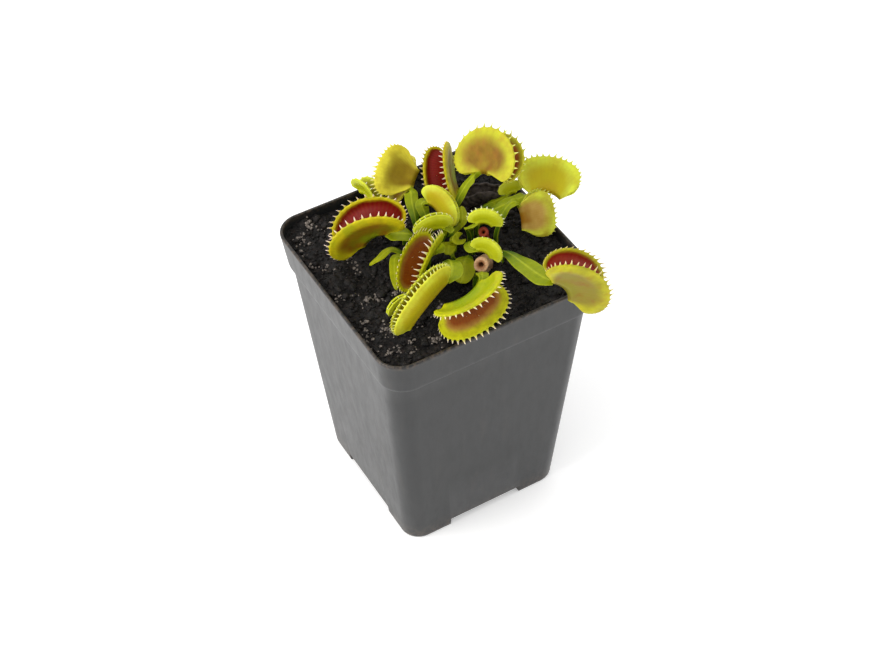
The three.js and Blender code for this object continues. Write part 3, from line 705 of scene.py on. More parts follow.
# ---- pot ----
POT_ROUND = 4 * 26  # cells round the pot
STRAIGHT = 0.42  # share of a quarter's cells that lie on its straight side
LIP_STEPS = 6


def square_point(half, corner, turn, z):
    """A point of a round-cornered square at share turn of its way round."""
    quarter, rest = divmod(turn * 4, 1)
    reach = half - corner
    if rest < STRAIGHT:
        x, y = half, mix(-reach, reach, rest / STRAIGHT)
    else:
        a = math.pi / 2 * (rest - STRAIGHT) / (1 - STRAIGHT)
        x, y = reach + corner * math.cos(a), reach + corner * math.sin(a)
    a = quarter * math.pi / 2
    return Vector((x * math.cos(a) - y * math.sin(a), x * math.sin(a) + y * math.cos(a), z))


def body_half(z):
    return mix(BASE_HALF, TOP_HALF, z / (POT_HEIGHT - BAND_HEIGHT))


def body_corner(z):
    return mix(BASE_CORNER, TOP_CORNER, z / (POT_HEIGHT - BAND_HEIGHT))


def pot_profile():
    """Half width, corner radius and height down the outside, over the lip and down the inside."""
    ledge = POT_HEIGHT - BAND_HEIGHT
    lip = settings().lip_radius / MM
    outside = [(0, 0, 0), (BASE_HALF - 3, BASE_CORNER - 2, 0), (BASE_HALF - 0.8, BASE_CORNER, 0)]
    outside += [(BASE_HALF - 0.25, BASE_CORNER, 0.25), (BASE_HALF, BASE_CORNER, 0.8)]
    outside += [(body_half(z), body_corner(z), z) for z in (2, 30, 60, 90, ledge - 0.8)]
    outside += [(body_half(ledge) + 0.05, TOP_CORNER, ledge - 0.25)]
    outside += [(body_half(ledge) + 0.3, TOP_CORNER, ledge), (SKIRT_HALF - 0.35, RIM_CORNER, ledge)]
    outside += [(SKIRT_HALF - 0.1, RIM_CORNER, ledge + 0.1), (SKIRT_HALF, RIM_CORNER, ledge + 0.4)]
    for share in (0.1, 0.5, 0.9):
        outside.append((mix(SKIRT_HALF, RIM_HALF, share), RIM_CORNER, ledge + BAND_HEIGHT * share))
    arc = []
    for k in range(LIP_STEPS + 1):
        a = math.pi * k / LIP_STEPS
        out = WALL / 2 * math.cos(a)
        half, corner = RIM_HALF - 0.03 - WALL / 2 + out, RIM_CORNER - WALL / 2 + out
        arc.append((half, corner, POT_HEIGHT - lip + lip * math.sin(a)))
    shoulder = ledge + WALL
    inside = [(mix(SKIRT_HALF, RIM_HALF, 0.5) - WALL, RIM_CORNER - WALL, ledge + 8)]
    inside += [(SKIRT_HALF - WALL, RIM_CORNER - WALL, shoulder + 1)]
    inside += [(TOP_HALF - WALL, TOP_CORNER - WALL, shoulder - 0.4)]
    inside += [(body_half(z) - WALL, body_corner(z) - WALL, z) for z in (60, 20, FLOOR_TOP + 1)]
    inside += [(body_half(FLOOR_TOP) - WALL - 1, BASE_CORNER - WALL - 1, FLOOR_TOP), (0, 0, FLOOR_TOP)]
    return outside + arc + inside


def build_foot_gaps(bm):
    gap = 2 * (BASE_HALF - FOOT_LENGTH)
    for size in ((gap, 100, 2 * FOOT_HEIGHT), (100, gap, 2 * FOOT_HEIGHT)):
        bmesh.ops.create_cube(bm, size=1, matrix=Matrix.Diagonal((*size, 1)))


def build_drains(bm):
    for x, y in DRAINS:
        bmesh.ops.create_cone(
            bm, cap_ends=True, segments=28, radius1=DRAIN_RADIUS, radius2=DRAIN_RADIUS, depth=6,
            matrix=Matrix.Translation((x, y, FLOOR_TOP)),
        )


class FLYTRAP_OT_pot(bpy.types.Operator):
    """Deep square nursery pot with a banded rim, four feet and drain holes"""

    bl_idname = "flytrap.pot"
    bl_label = "Pot"

    def execute(self, context):
        profile = pot_profile()
        bm = bmesh.new()
        add_skin(
            bm, len(profile) - 1, POT_ROUND,
            lambda i, j: square_point(profile[i][0], profile[i][1], j / POT_ROUND, profile[i][2]),
            lambda t, s, i, j: ((s, t), 0), weld=1e-3,
        )
        pot = finish_piece("pot_shell", bm, [plastic_finish()], ["pot"])
        for build in (build_foot_gaps, build_drains):
            bm = bmesh.new()
            build(bm)
            tool = object_of(build.__name__, bm)
            cut = pot.modifiers.new("cut", "BOOLEAN")
            cut.operation, cut.solver, cut.object = "DIFFERENCE", "EXACT", tool
            cut.use_self = True
            depsgraph = bpy.context.evaluated_depsgraph_get()
            shaped = bpy.data.meshes.new_from_object(pot.evaluated_get(depsgraph))
            pot.modifiers.clear()
            pot.data = shaped
            bpy.data.objects.remove(tool)
        soften_cuts(pot)
        return {"FINISHED"}


def soften_cuts(pot):
    """Bevels the cut edges under the pot, and marks the edges that stay sharp."""
    bm = bmesh.new()
    bm.from_mesh(pot.data)
    cuts = [
        edge for edge in bm.edges
        if edge.calc_face_angle(0) > math.radians(50)
        and max(vert.co.z for vert in edge.verts) < (FOOT_HEIGHT + 0.5) * MM
    ]
    bmesh.ops.bevel(
        bm, geom=cuts, offset=0.25 * MM, segments=2, profile=0.5, affect="EDGES", material=-1,
        offset_type="OFFSET", clamp_overlap=True,
    )
    mark_sharp(bm, 38)
    for face in bm.faces:
        face.smooth = True
    bm.to_mesh(pot.data)
    bm.free()


# ---- peat ----
PEAT_CELLS = 176
PEAT_HALF = 43  # how far from the middle loose pieces lie
BATCH = 120  # small shapes that are made at once
FOLD_AWAY = (Vector((9.3, -1.5, -8)), Vector((0, 0, 0)), Vector((6.3, 0.2, -2.7)))


def rough(x, y, size, seed):
    return noise.noise(Vector((x / size, y / size, seed)))


def fold_at(point):
    """Three noises at a point. The vector noise of mathutils isn't the same on each run."""
    return Vector([noise.noise(point + away) for away in FOLD_AWAY])


def soil_height(x, y):
    """The peat's top: low swells, a slight heap at the crown, and crumbly relief."""
    swell = 0.7 * math.sin(0.13 * x + 1) * math.cos(0.11 * y) + 0.5 * math.sin(0.27 * x - 0.19 * y)
    heap = 0.9 * math.exp(-((x - CROWN[0]) ** 2 + (y - CROWN[1]) ** 2) / 320)
    clods = 1.1 * abs(rough(x, y, 7, 3.1)) + 0.9 * rough(x, y, 3.4, 7.7)
    crumbs = 0.55 * rough(x, y, 1.5, 1.3) + 0.3 * rough(x, y, 0.75, 9.2)
    return SOIL_Z + 0.1 + swell + heap + clods + crumbs


def inner_half(z):
    """Half width of the pot's inside in its band."""
    return mix(SKIRT_HALF, RIM_HALF, (z - POT_HEIGHT + BAND_HEIGHT) / BAND_HEIGHT) - WALL


def in_square(a, b, half, corner):
    """Maps a, b in -1..1 into a round-cornered square."""
    inner = (half - corner) / half
    p, q = abs(a), abs(b)
    if p > inner and q > inner:
        p, q = (p - inner) / (1 - inner), (q - inner) / (1 - inner)
        p, q = p * math.sqrt(1 - q * q / 2), q * math.sqrt(1 - p * p / 2)
        p, q = inner + p * (1 - inner), inner + q * (1 - inner)
    return math.copysign(p * half, a), math.copysign(q * half, b)


class FLYTRAP_OT_peat(bpy.types.Operator):
    """Peat that fills the pot, with a crumbly top"""

    bl_idname = "flytrap.peat"
    bl_label = "Peat"

    def execute(self, context):
        half = inner_half(SOIL_Z + 1) - 0.12
        corner = RIM_CORNER - WALL

        def place(i, j):
            x, y = in_square(j / PEAT_CELLS * 2 - 1, i / PEAT_CELLS * 2 - 1, half, corner)
            return Vector((x, y, soil_height(x, y)))

        bm = bmesh.new()
        add_skin(bm, PEAT_CELLS, PEAT_CELLS, place)
        shelves = (
            (SKIRT_HALF - WALL - 0.4, POT_HEIGHT - BAND_HEIGHT + 3),
            (TOP_HALF - WALL - 0.4, POT_HEIGHT - BAND_HEIGHT),
            (body_half(FLOOR_TOP) - WALL - 1.2, FLOOR_TOP + 0.3),
        )
        for width, z in shelves:
            rim = [edge for edge in bm.edges if edge.is_boundary]
            made = bmesh.ops.extrude_edge_only(bm, edges=rim)["geom"]
            below = [item for item in made if isinstance(item, bmesh.types.BMVert)]
            inwards = min(width / half, 1)
            for vert in below:
                vert.co = Vector((vert.co.x * inwards, vert.co.y * inwards, z))
        bmesh.ops.holes_fill(bm, edges=[edge for edge in bm.edges if edge.is_boundary], sides=0)
        for face in bm.faces:
            face.smooth = True
        finish_piece("peat", bm, [peat_finish()], ["soil"], sharp=75)
        return {"FINISHED"}


def scattered(rng, count, weight=lambda x, y: 1):
    """Seeded places on the peat, kept where weight allows."""
    places = []
    while len(places) < count:
        x, y = rng.uniform(-PEAT_HALF, PEAT_HALF), rng.uniform(-PEAT_HALF, PEAT_HALF)
        if math.hypot(max(abs(x) - 34, 0), max(abs(y) - 34, 0)) > 8.3:
            continue
        if rng.random() < weight(x, y):
            places.append((x, y))
    return places


def add_lumps(bm, rng, places, sizes, detail, sink):
    """Rough pebble shapes at the places, each turned and squashed its own way."""
    for x, y in places:
        size = rng.uniform(*sizes) * rng.uniform(0.7, 1.3)
        squash = Vector((rng.uniform(0.7, 1.3), rng.uniform(0.7, 1.2), rng.uniform(0.5, 0.9))) * size
        turn = Matrix.Rotation(rng.uniform(0, 6.3), 4, "Z") @ Matrix.Rotation(rng.uniform(-0.6, 0.6), 4, "X")
        at = Vector((x, y, soil_height(x, y) + size * rng.uniform(*sink)))
        made = bmesh.ops.create_icosphere(
            bm, subdivisions=detail, radius=1,
            matrix=Matrix.Translation(at) @ turn @ Matrix.Diagonal((*squash, 1)),
        )["verts"]
        for vert in made:
            away = vert.co - at
            vert.co = at + away * (1 + 0.45 * noise.noise(vert.co * (1.3 / size)))


def heap(name, finish, *loads):
    """A piece of many small shapes. A load is a fill, its places and how many it gets at once.

    fill(bm, places) works in a small bmesh of its own, so that its operators stay quick.
    """
    whole = bmesh.new()
    for fill, places, count in loads:
        for k in range(0, len(places), count):
            bm = bmesh.new()
            fill(bm, places[k:k + count])
            for face in bm.faces:
                face.smooth = True
            mesh = bpy.data.meshes.new("part")
            bm.to_mesh(mesh)
            bm.free()
            whole.from_mesh(mesh)
            bpy.data.meshes.remove(mesh)
    finish_piece(name, whole, [finish])


class FLYTRAP_OT_crumbs(bpy.types.Operator):
    """Loose peat crumbs and lumps"""

    bl_idname = "flytrap.crumbs"
    bl_label = "Peat crumbs"

    def execute(self, context):
        values = settings()
        rng = random.Random(values.seed)
        small, large = scattered(rng, values.crumbs), scattered(rng, values.lumps)
        heap(
            "peat_crumbs", crumb_finish(),
            (lambda bm, p: add_lumps(bm, rng, p, (0.3, 0.75), 1, (0.0, 0.5)), small, BATCH),
            (lambda bm, p: add_lumps(bm, rng, p, (0.8, 1.5), 2, (-0.3, 0.3)), large, BATCH),
        )
        return {"FINISHED"}


class FLYTRAP_OT_grit(bpy.types.Operator):
    """Clusters of pale grit, most of them on the left and in front"""

    bl_idname = "flytrap.grit"
    bl_label = "Pale grit"

    def execute(self, context):
        values = settings()
        rng = random.Random(values.seed + 1)

        def weight(x, y):
            return 0.06 + 0.94 * smooth(-x - 0.35 * y, 2, 30) * smooth(abs(x) + abs(y), 20, 34)

        grains = []
        for x, y in scattered(rng, values.grit, weight):
            for _ in range(rng.randint(3, 10)):
                grains.append((x + rng.gauss(0, 1.0), y + rng.gauss(0, 1.0)))
        heap(
            "pale_grit", grit_finish(),
            (lambda bm, p: add_lumps(bm, rng, p, (0.25, 0.6), 2, (0.2, 0.9)), grains, BATCH),
        )
        return {"FINISHED"}


class FLYTRAP_OT_moss(bpy.types.Operator):
    """Tufts of dark moss along the far rim, and dry roots on the peat"""

    bl_idname = "flytrap.moss"
    bl_label = "Moss and roots"

    def execute(self, context):
        values = settings()
        rng = random.Random(values.seed + 2)

        def weight(x, y):
            return 0.02 + smooth(x, 33, 41) * max(smooth(-abs(y + 13), -9, -2), smooth(-abs(y - 20), -8, -2))

        def tufts(bm, places):
            for x, y in places:
                foot = Vector((x, y, soil_height(x, y) - 0.4))
                for _ in range(rng.randint(9, 16)):
                    way = Vector((rng.gauss(0, 0.7), rng.gauss(0, 0.7), rng.uniform(0.4, 1.3))).normalized()
                    size = rng.uniform(1.1, 2.9)
                    start = foot + Vector((rng.gauss(0, 0.6), rng.gauss(0, 0.6), 0))
                    side = way.orthogonal().normalized()
                    end = start + (way - UP * 0.25) * size
                    add_spine(bm, start, start + way * size * 0.6, end, 0.26, side, 0.16,
                        way.cross(side), 0, rows=4, cols=4)

        heap("moss_tufts", moss_finish(), (tufts, scattered(rng, values.tufts, weight), 8))

        def roots(bm, places):
            for x, y in places:
                a, length = rng.uniform(0, 6.3), rng.uniform(2.5, 8)
                step = Vector((math.cos(a), math.sin(a), 0)) * length
                start = Vector((x, y, 0))
                side = Vector((-step.y, step.x, 0)) / length
                points = [start + step * t + side * (rng.gauss(0, 0.12) * length) for t in (0, 0.5, 1)]
                for point in points:
                    reach = max(abs(point.x), abs(point.y)) / 42
                    point /= max(reach, 1)
                    point.z = soil_height(point.x, point.y) + 0.15
                points[1].z += rng.uniform(0, 0.9)
                add_spine(bm, *points, rng.uniform(0.07, 0.16), side, 0.08, UP, 0,
                    rows=8, cols=5)

        heap("dry_roots", fibre_finish(), (roots, scattered(rng, values.fibres), 20))
        return {"FINISHED"}


# ---- traps ----
LOBE_ROWS = 16  # cells from hinge to rim
LOBE_COLUMNS = {True: 60, False: 104}  # cells along a small trap's hinge, and a large one's
RIM_STEPS = 4  # cells round a lobe's rim
SMALL_TRAP = 9  # width below which a trap is small
CROWDING = {True: 2.1, False: 1.8}  # teeth for each of the solid's, on small traps and large ones
TEETH_FROM, TEETH_TO = 0.07, 0.93  # where along the rim the teeth stand
TEETH_SPAN = TEETH_TO - TEETH_FROM
TOOTH_SLOT, STALK_SLOT = 2, 3  # a leaf's materials: inner face, outer face, teeth, stalk
TRIGGERS = ((0.36, 0.42), (0.5, 0.56), (0.64, 0.42))  # along the hinge, and from it to the rim
CRUMPLE = 1.1  # how far a dead leaf's lobes are crumpled
COLOUR_EDGE = 0.76  # where a lobe's finish turns from its middle to its rim band
CORNERS = {True: 8, False: 3}  # how squarely the colour follows the outline, inside and out


def trap_of(leaf):
    """A leaf's trap with its own axes: x along the hinge's chord, z out of the mouth."""
    trap = SimpleNamespace(**{**TRAP, **leaf})
    h, p, r = (math.radians(a) for a in (trap.heading, trap.pitch, trap.roll))
    trap.x = Vector((math.cos(p) * math.cos(h), math.cos(p) * math.sin(h), math.sin(p)))
    z = Vector((-math.sin(p) * math.cos(h), -math.sin(p) * math.sin(h), math.cos(p)))
    y = z.cross(trap.x)
    trap.z = z * math.cos(r) + y * math.sin(r)
    trap.y = trap.z.cross(trap.x)
    trap.at = Vector(trap.at)
    trap.small = trap.width < SMALL_TRAP
    trap.spines = round(trap.teeth * CROWDING[trap.small])
    return trap


def hinge_at(trap, u):
    """Point of the bowed hinge at u, with its tangent and the way out of the mouth."""
    bow = math.radians(trap.bow)
    radius = trap.hinge / bow
    a = bow * (0.5 - u)
    point = trap.at + trap.x * (radius * (math.sin(bow / 2) - math.sin(a)))
    point += trap.z * (radius * (math.cos(a) - math.cos(bow / 2)))
    tangent = trap.x * math.cos(a) + trap.z * math.sin(a)
    return point, tangent, trap.z * math.cos(a) - trap.x * math.sin(a)


def lean(trap, v):
    """How far a lobe leans from the middle plane at v, in degrees."""
    body = mix(trap.splay, trap.flare, min(v / BAND_START, 1))
    return mix(body, trap.flare - trap.band, smooth(v, BAND_START - 0.07, BAND_START + 0.05))


def reach(trap, u):
    """Length of the rib at u."""
    return trap.width * (1 - (1 - trap.ear) * abs(2 * u - 1) ** 5)


def rib(trap, tangent, mouth, u, angle, side):
    """Direction of a rib at u that leans by angle degrees towards side."""
    fan, a = math.radians(trap.fan * (u - 0.5)), math.radians(angle)
    return (
        tangent * math.sin(fan) + mouth * (math.cos(fan) * math.cos(a))
        + trap.y * (math.cos(fan) * math.sin(a) * side)
    )


def column_at(share):
    """Columns crowd towards the ends of the hinge, where the outline turns."""
    return 0.5 - 0.5 * math.cos(math.pi * share)


def tooth_share(trap, k):
    """Share of the columns at which tooth k stands."""
    return mix(TEETH_FROM, TEETH_TO, (k + 0.5) / trap.spines)


def lobe_sheet(trap, columns, phase):
    """Middle surface of the two lobes: a list of columns, each from one rim to the other."""
    values = settings()
    sheet = []
    for i in range(columns + 1):
        share = i / columns
        u = column_at(share)
        point, tangent, mouth = hinge_at(trap, u)
        beat = math.cos(2 * math.pi * ((share - TEETH_FROM) / TEETH_SPAN * trap.spines - 0.5))
        scallop = values.scallop / MM * beat * smooth(0.4 - abs(share - 0.5), -0.02, 0.04)
        scallop *= trap.tooth / TRAP["tooth"]
        halves = []
        for side in (-1, 1):
            way, at = [], point.copy()
            for k in range(LOBE_ROWS):
                v = (k + 0.5) / LOBE_ROWS
                direction = rib(trap, tangent, mouth, u, lean(trap, v), side)
                step = reach(trap, u) / LOBE_ROWS + (scallop if k == LOBE_ROWS - 1 else 0)
                at = at + direction * step
                lift = (k + 1) / LOBE_ROWS
                wave = rough(u * 2.6, side * 3.0, 1, phase) * lift ** 2
                sway = wave * values.rim_wave / MM * (0.4 if trap.small else 1)
                across = tangent.cross(direction)
                way.append(at + across * (sway * side))
            halves.append(way)
        sheet.append(halves[0][::-1] + [point] + halves[1])
    return sheet


def sheet_frames(sheet):
    """For each point of the sheet, the normal towards the mouth and the way across."""
    frames = []
    last, width = len(sheet) - 1, len(sheet[0]) - 1
    for i, column in enumerate(sheet):
        before, after = sheet[max(i - 1, 0)], sheet[min(i + 1, last)]
        row = []
        for m in range(width + 1):
            across = (column[min(m + 1, width)] - column[max(m - 1, 0)]).normalized()
            normal = (after[m] - before[m]).cross(across).normalized()
            row.append((normal, across))
        frames.append(row)
    return frames


def depth_of(trap, u, v, inner):
    """0 at the hinge, COLOUR_EDGE where the rim band's colour starts, 1 on the outline."""
    margin = trap.margin if inner else min(trap.margin + 0.1, 0.3)
    power = CORNERS[inner]
    from_end = min(u, 1 - u) * (trap.hinge + v * trap.width * math.radians(trap.fan))
    end = 1 - min(from_end / (trap.width * mix(0.3, 1, v)), 1)
    inwards = 1 - min((v ** power + end ** power) ** (1 / power), 1)
    if inwards < margin:
        return 1 - inwards / margin * (1 - COLOUR_EDGE)
    return (1 - inwards) / (1 - margin) * COLOUR_EDGE


def add_lobes(bm, trap, sheet, frames, crumple):
    """Both lobes as one closed skin: inner face, rim, outer face, rim."""
    columns, width = len(sheet) - 1, 2 * LOBE_ROWS
    order = [("in", m, 0) for m in range(width + 1)]
    order += [("rim", width, k / RIM_STEPS) for k in range(1, RIM_STEPS)]
    order += [("out", m, 1) for m in range(width, -1, -1)]
    order += [("rim", 0, 1 - k / RIM_STEPS) for k in range(1, RIM_STEPS)]
    rounds = len(order)
    span = trap.hinge + trap.width * 0.8

    def place(i, j):
        part, m, turn = order[j % rounds]
        point, (normal, across) = sheet[i][m], frames[i][m]
        w = m / LOBE_ROWS - 1
        u = column_at(i / columns)
        close = min(min(u, 1 - u) * span / (BLADE / 2), 1)
        half = BLADE / 2 * math.sqrt(max(1 - (1 - close) ** 2, 0))
        half *= mix(1, 0.75, smooth(abs(w), 0.5, 0.85)) + 0.45 * smooth(abs(w), 0.9, 1)
        ridge = 0.14 * math.exp(-(((abs(w) - BAND_START) / 0.05) ** 2)) * (half / BLADE)
        keel = (KEEL - BLADE) * max(1 - abs(w) / 0.26, 0) ** 1.5 * min(close, 1)
        if crumple:
            fold = fold_at(point * 0.28) + fold_at(point * 0.75) * 0.4
            point = point + fold * crumple
        if part == "in":
            return point + normal * (half + ridge)
        if part == "out":
            return point - normal * (half + keel)
        a = math.pi * turn
        out = across if m else -across
        return point + normal * (half * math.cos(a)) + out * (half * math.sin(a))

    def paint(t, s, i, j):
        k = s * rounds
        if k <= width:
            w = k / LOBE_ROWS - 1
        elif k < width + RIM_STEPS:
            w = 1
        elif k <= 2 * width + RIM_STEPS:
            w = 1 - (k - width - RIM_STEPS) / LOBE_ROWS
        else:
            w = -1
        inner = order[j % rounds][0] == "in" and j < width
        depth = depth_of(trap, column_at(t), abs(w), inner)
        return (column_at(t), depth), 0 if inner else 1

    add_skin(bm, columns, rounds, place, paint, weld=2e-3)


def add_teeth(bm, trap, sheet, frames, rng):
    """Teeth along both rims, broad at the foot, each bent a little its own way."""
    columns = len(sheet) - 1
    for side in (-1, 1):
        edge = 0 if side < 0 else 2 * LOBE_ROWS
        for k in range(trap.spines):
            at = tooth_share(trap, k) * columns
            i = min(int(at), columns - 1)
            root = sheet[i][edge].lerp(sheet[i + 1][edge], at - i)
            u = column_at(at / columns)
            _, tangent, mouth = hinge_at(trap, u)
            blade = rib(trap, tangent, mouth, u, lean(trap, 1), side)
            point = rib(trap, tangent, mouth, u, lean(trap, 1) - trap.hook, side)
            size = trap.tooth * (0.45 + 0.4 * math.sin(math.pi * u)) * rng.uniform(0.8, 1.12)
            before, after = sheet[max(i - 1, 0)][edge], sheet[min(i + 2, columns)][edge]
            along = (after - before).normalized()
            pitch = (after - before).length / 3 * columns * TEETH_SPAN / trap.spines
            point = (point + along * rng.gauss(0, 0.1)).normalized()
            half_width = min(0.18 * trap.tooth, 0.3 * pitch)
            add_spine(
                bm, root - blade * 0.5, root + blade * size * 0.4, root + point * size, half_width,
                along, 0.22, frames[i][edge][0], TOOTH_SLOT, rows=6, cols=6, foot=1.5,
            )


def add_triggers(bm, trap, sheet, frames):
    """Three trigger hairs on each lobe."""
    columns = len(sheet) - 1
    for side in (-1, 1):
        for u, v in TRIGGERS:
            i = round(math.acos(1 - 2 * u) / math.pi * columns)
            m = LOBE_ROWS + side * round(v * LOBE_ROWS)
            normal, across = frames[i][m]
            start = sheet[i][m] + normal * 0.2
            add_spine(bm, start, start + normal * 0.7, start + normal * 1.5 + across * 0.2, 0.09,
                across, 0.09, normal.cross(across), TOOTH_SLOT, rows=4, cols=5)


def bezier(a, b, c, d, t):
    """Point at t of the curve from a to d, pulled towards b and c."""
    e = 1 - t
    return a * e ** 3 + b * (3 * e * e * t) + c * (3 * e * t * t) + d * t ** 3


def bezier_way(a, b, c, d, t):
    """Direction of that curve at t."""
    e = 1 - t
    return ((b - a) * (e * e) + (c - b) * (2 * e * t) + (d - c) * (t * t)).normalized()


def leaf_section(centre, side, up, turn, half_width, middle, edge, fold):
    """A point of a winged section: thick in the middle, thin at its lifted edges."""
    x, y = math.cos(turn), math.sin(turn)
    q = math.copysign(abs(x) ** 0.8, x)
    thick = mix(middle, edge, abs(q) ** (0.6 if half_width > WING_FROM else 1))
    lift = fold * half_width * abs(q) ** 1.4
    return centre + side * (q * half_width) + up * (thick / 2 * y + lift)


def ripple(turn, along, phase, size, swell):
    """Lift of a winged section's edges, which ripple out of step."""
    step = 2 if math.cos(turn) > 0 else 0
    return size * math.sin(along + phase + step) * (abs(math.cos(turn)) ** 3 * swell)


def section_paint(slot):
    """Paint for a winged section: u runs along it, and v from -1 to 1 across it."""
    return lambda t, s, i, j: ((t, math.cos(2 * math.pi * s)), slot)


STALK_ROWS, STALK_ROUND, STALK_FOOT = 46, 24, 3
STALK_RIPPLE = 19


def add_stalk(bm, trap, leaf, rng):
    """The winged stalk, from its root in the peat to the trap's hinge."""
    point, tangent, mouth = hinge_at(trap, 0)
    end = point - mouth * 0.5
    start = Vector((*leaf["root"], SOIL_Z + STEM_RISE))
    knots = (start, start + UP * leaf.get("rise", 8), end - tangent * STEM_REACH, end + tangent)
    away = Vector((end.x - start.x, end.y - start.y, 0)).normalized()
    half, thick, thin = (k * STEM_WIDTH for k in (0.5, 0.8, 0.5))
    phase = rng.uniform(0, 6)
    lift = rng.uniform(0.12, 0.3)

    def place(i, j):
        if i < STALK_FOOT:
            s, way = 0, UP
            centre = Vector((start.x, start.y, mix(SOIL_Z - 3, start.z, i / STALK_FOOT)))
        else:
            s = (i - STALK_FOOT) / (STALK_ROWS - STALK_FOOT)
            centre, way = bezier(*knots, s), bezier_way(*knots, s)
        up = (-away).lerp(UP, smooth(s, 0, 0.45)).lerp(mouth, smooth(s, 0.8, 1))
        up = (up - way * up.dot(way)).normalized()
        side = up.cross(way)
        if i in (0, STALK_ROWS):
            return centre
        wing = smooth(s, 0.05, 0.75) * (1 - smooth(s, 0.84, 1))
        half_width = mix(half, leaf["wing"] / 2, wing)
        a = 2 * math.pi * j / STALK_ROUND
        middle, edge = mix(thick, 1.5, smooth(s, 0, 0.4)), mix(thin, 0.5, smooth(s, 0, 0.3))
        shape = leaf_section(centre, side, up, a, half_width, middle, edge, WING_FOLD * wing)
        return shape + up * ripple(a, s * STALK_RIPPLE, phase, lift, wing)

    add_skin(bm, STALK_ROWS, STALK_ROUND, place, section_paint(STALK_SLOT))


class FLYTRAP_OT_traps(bpy.types.Operator):
    """Every leaf that carries a trap: winged stalk, two lobes, teeth and trigger hairs"""

    bl_idname = "flytrap.traps"
    bl_label = "Trap leaves"

    def execute(self, context):
        values = settings()
        stalk = stalk_finish("winged_stalk", values.stalk_low, values.stalk_high, colours_of("lime").band)
        finishes = {}
        for number, (name, leaf) in enumerate(LEAVES.items()):
            rng = random.Random(values.seed * 100 + number)
            kind = leaf["look"]
            dead = kind == "dead"
            if kind not in finishes:
                finishes[kind] = [dead_finish()] * 4 if dead else [
                    lobe_inside(kind), lobe_back(kind), tooth_finish(kind), stalk
                ]
            trap = trap_of(leaf)
            sheet = lobe_sheet(trap, LOBE_COLUMNS[trap.small], number * 3.7)
            frames = sheet_frames(sheet)
            bm = bmesh.new()
            add_lobes(bm, trap, sheet, frames, CRUMPLE if dead else 0)
            if not dead:
                add_teeth(bm, trap, sheet, frames, rng)
            if not trap.small:
                add_triggers(bm, trap, sheet, frames)
            add_stalk(bm, trap, leaf, rng)
            finish_piece(f"trap_{name}", bm, finishes[kind], [f"leaf_{name}"])
        return {"FINISHED"}


# ---- blades and cut stalks ----
# The pairs of knots between which each level of a centripetal curve's pyramid blends.
PYRAMID = (((0, 1), (1, 2), (2, 3)), ((0, 2), (1, 3)), ((1, 2),))


SPLINE_STEPS = 160


def spline(points):
    """Points along a smooth curve through the given points."""
    ends = [points[0] * 2 - points[1], *points, points[-1] * 2 - points[-2]]
    path = []
    for k in range(1, len(ends) - 2):
        near = ends[k - 1:k + 3]
        knots = [0.0]
        for p, q in zip(near, near[1:]):
            knots.append(knots[-1] + max((q - p).length, 1e-4) ** 0.5)
        for n in range(SPLINE_STEPS):
            t = mix(knots[1], knots[2], n / SPLINE_STEPS)
            row = near
            for spans in PYRAMID:
                row = [
                    p.lerp(q, (t - knots[low]) / (knots[high] - knots[low]))
                    for (low, high), p, q in zip(spans, row, row[1:])
                ]
            path.append(row[0])
    path.append(points[-1].copy())
    return path


BLADE_ROWS, BLADE_ROUND, BLADE_FOOT = 40, 22, 4
BLADE_RIPPLE, BLADE_LIFT = 17, 0.22


def add_blade(bm, blade, rng):
    """A flat blade along its curve, with a rounded tip and rippled edges."""
    root, *way = (Vector(p) for p in blade["points"])
    path = spline([root, root + UP * (STEM_RISE - 1), *way])
    lengths = [0.0]
    for a, b in zip(path, path[1:]):
        lengths.append(lengths[-1] + (b - a).length)
    start_up = Vector((root.x - way[-1].x, root.y - way[-1].y, 0)).normalized()
    phase = rng.uniform(0, 6)

    def at(s):
        target = s * lengths[-1]
        k = next((n for n in range(1, len(lengths)) if lengths[n] >= target), len(path) - 1)
        part = (target - lengths[k - 1]) / max(lengths[k] - lengths[k - 1], 1e-6)
        return path[k - 1].lerp(path[k], part), (path[k] - path[k - 1]).normalized()

    def place(i, j):
        if i < BLADE_FOOT:
            s, centre, tangent = 0, root - UP * (BLADE_FOOT - i), UP
        else:
            s = (i - BLADE_FOOT) / (BLADE_ROWS - BLADE_FOOT)
            centre, tangent = at(s)
        up = start_up.lerp(UP, smooth(s, 0, 0.5))
        up = (up - tangent * up.dot(tangent)).normalized()
        side = up.cross(tangent)
        if i in (0, BLADE_ROWS):
            return centre
        past = (s - blade["broad"]) / (1.005 - blade["broad"])
        if past < 0:
            swell = smooth(s, 0.1, blade["broad"])
            half_width = mix(1.2, blade["width"] / 2, swell)
        else:
            swell = math.sqrt(max(1 - past ** 2, 0))
            half_width = blade["width"] / 2 * swell
        a = 2 * math.pi * j / BLADE_ROUND
        middle, edge = mix(1.8, 0.8, s), mix(1.2, 0.45, s)
        shape = leaf_section(centre, side, up, a, half_width, middle, edge, 0.2 * swell)
        return shape + up * ripple(a, s * BLADE_RIPPLE, phase, BLADE_LIFT, swell)

    add_skin(bm, BLADE_ROWS, BLADE_ROUND, place, section_paint(0))


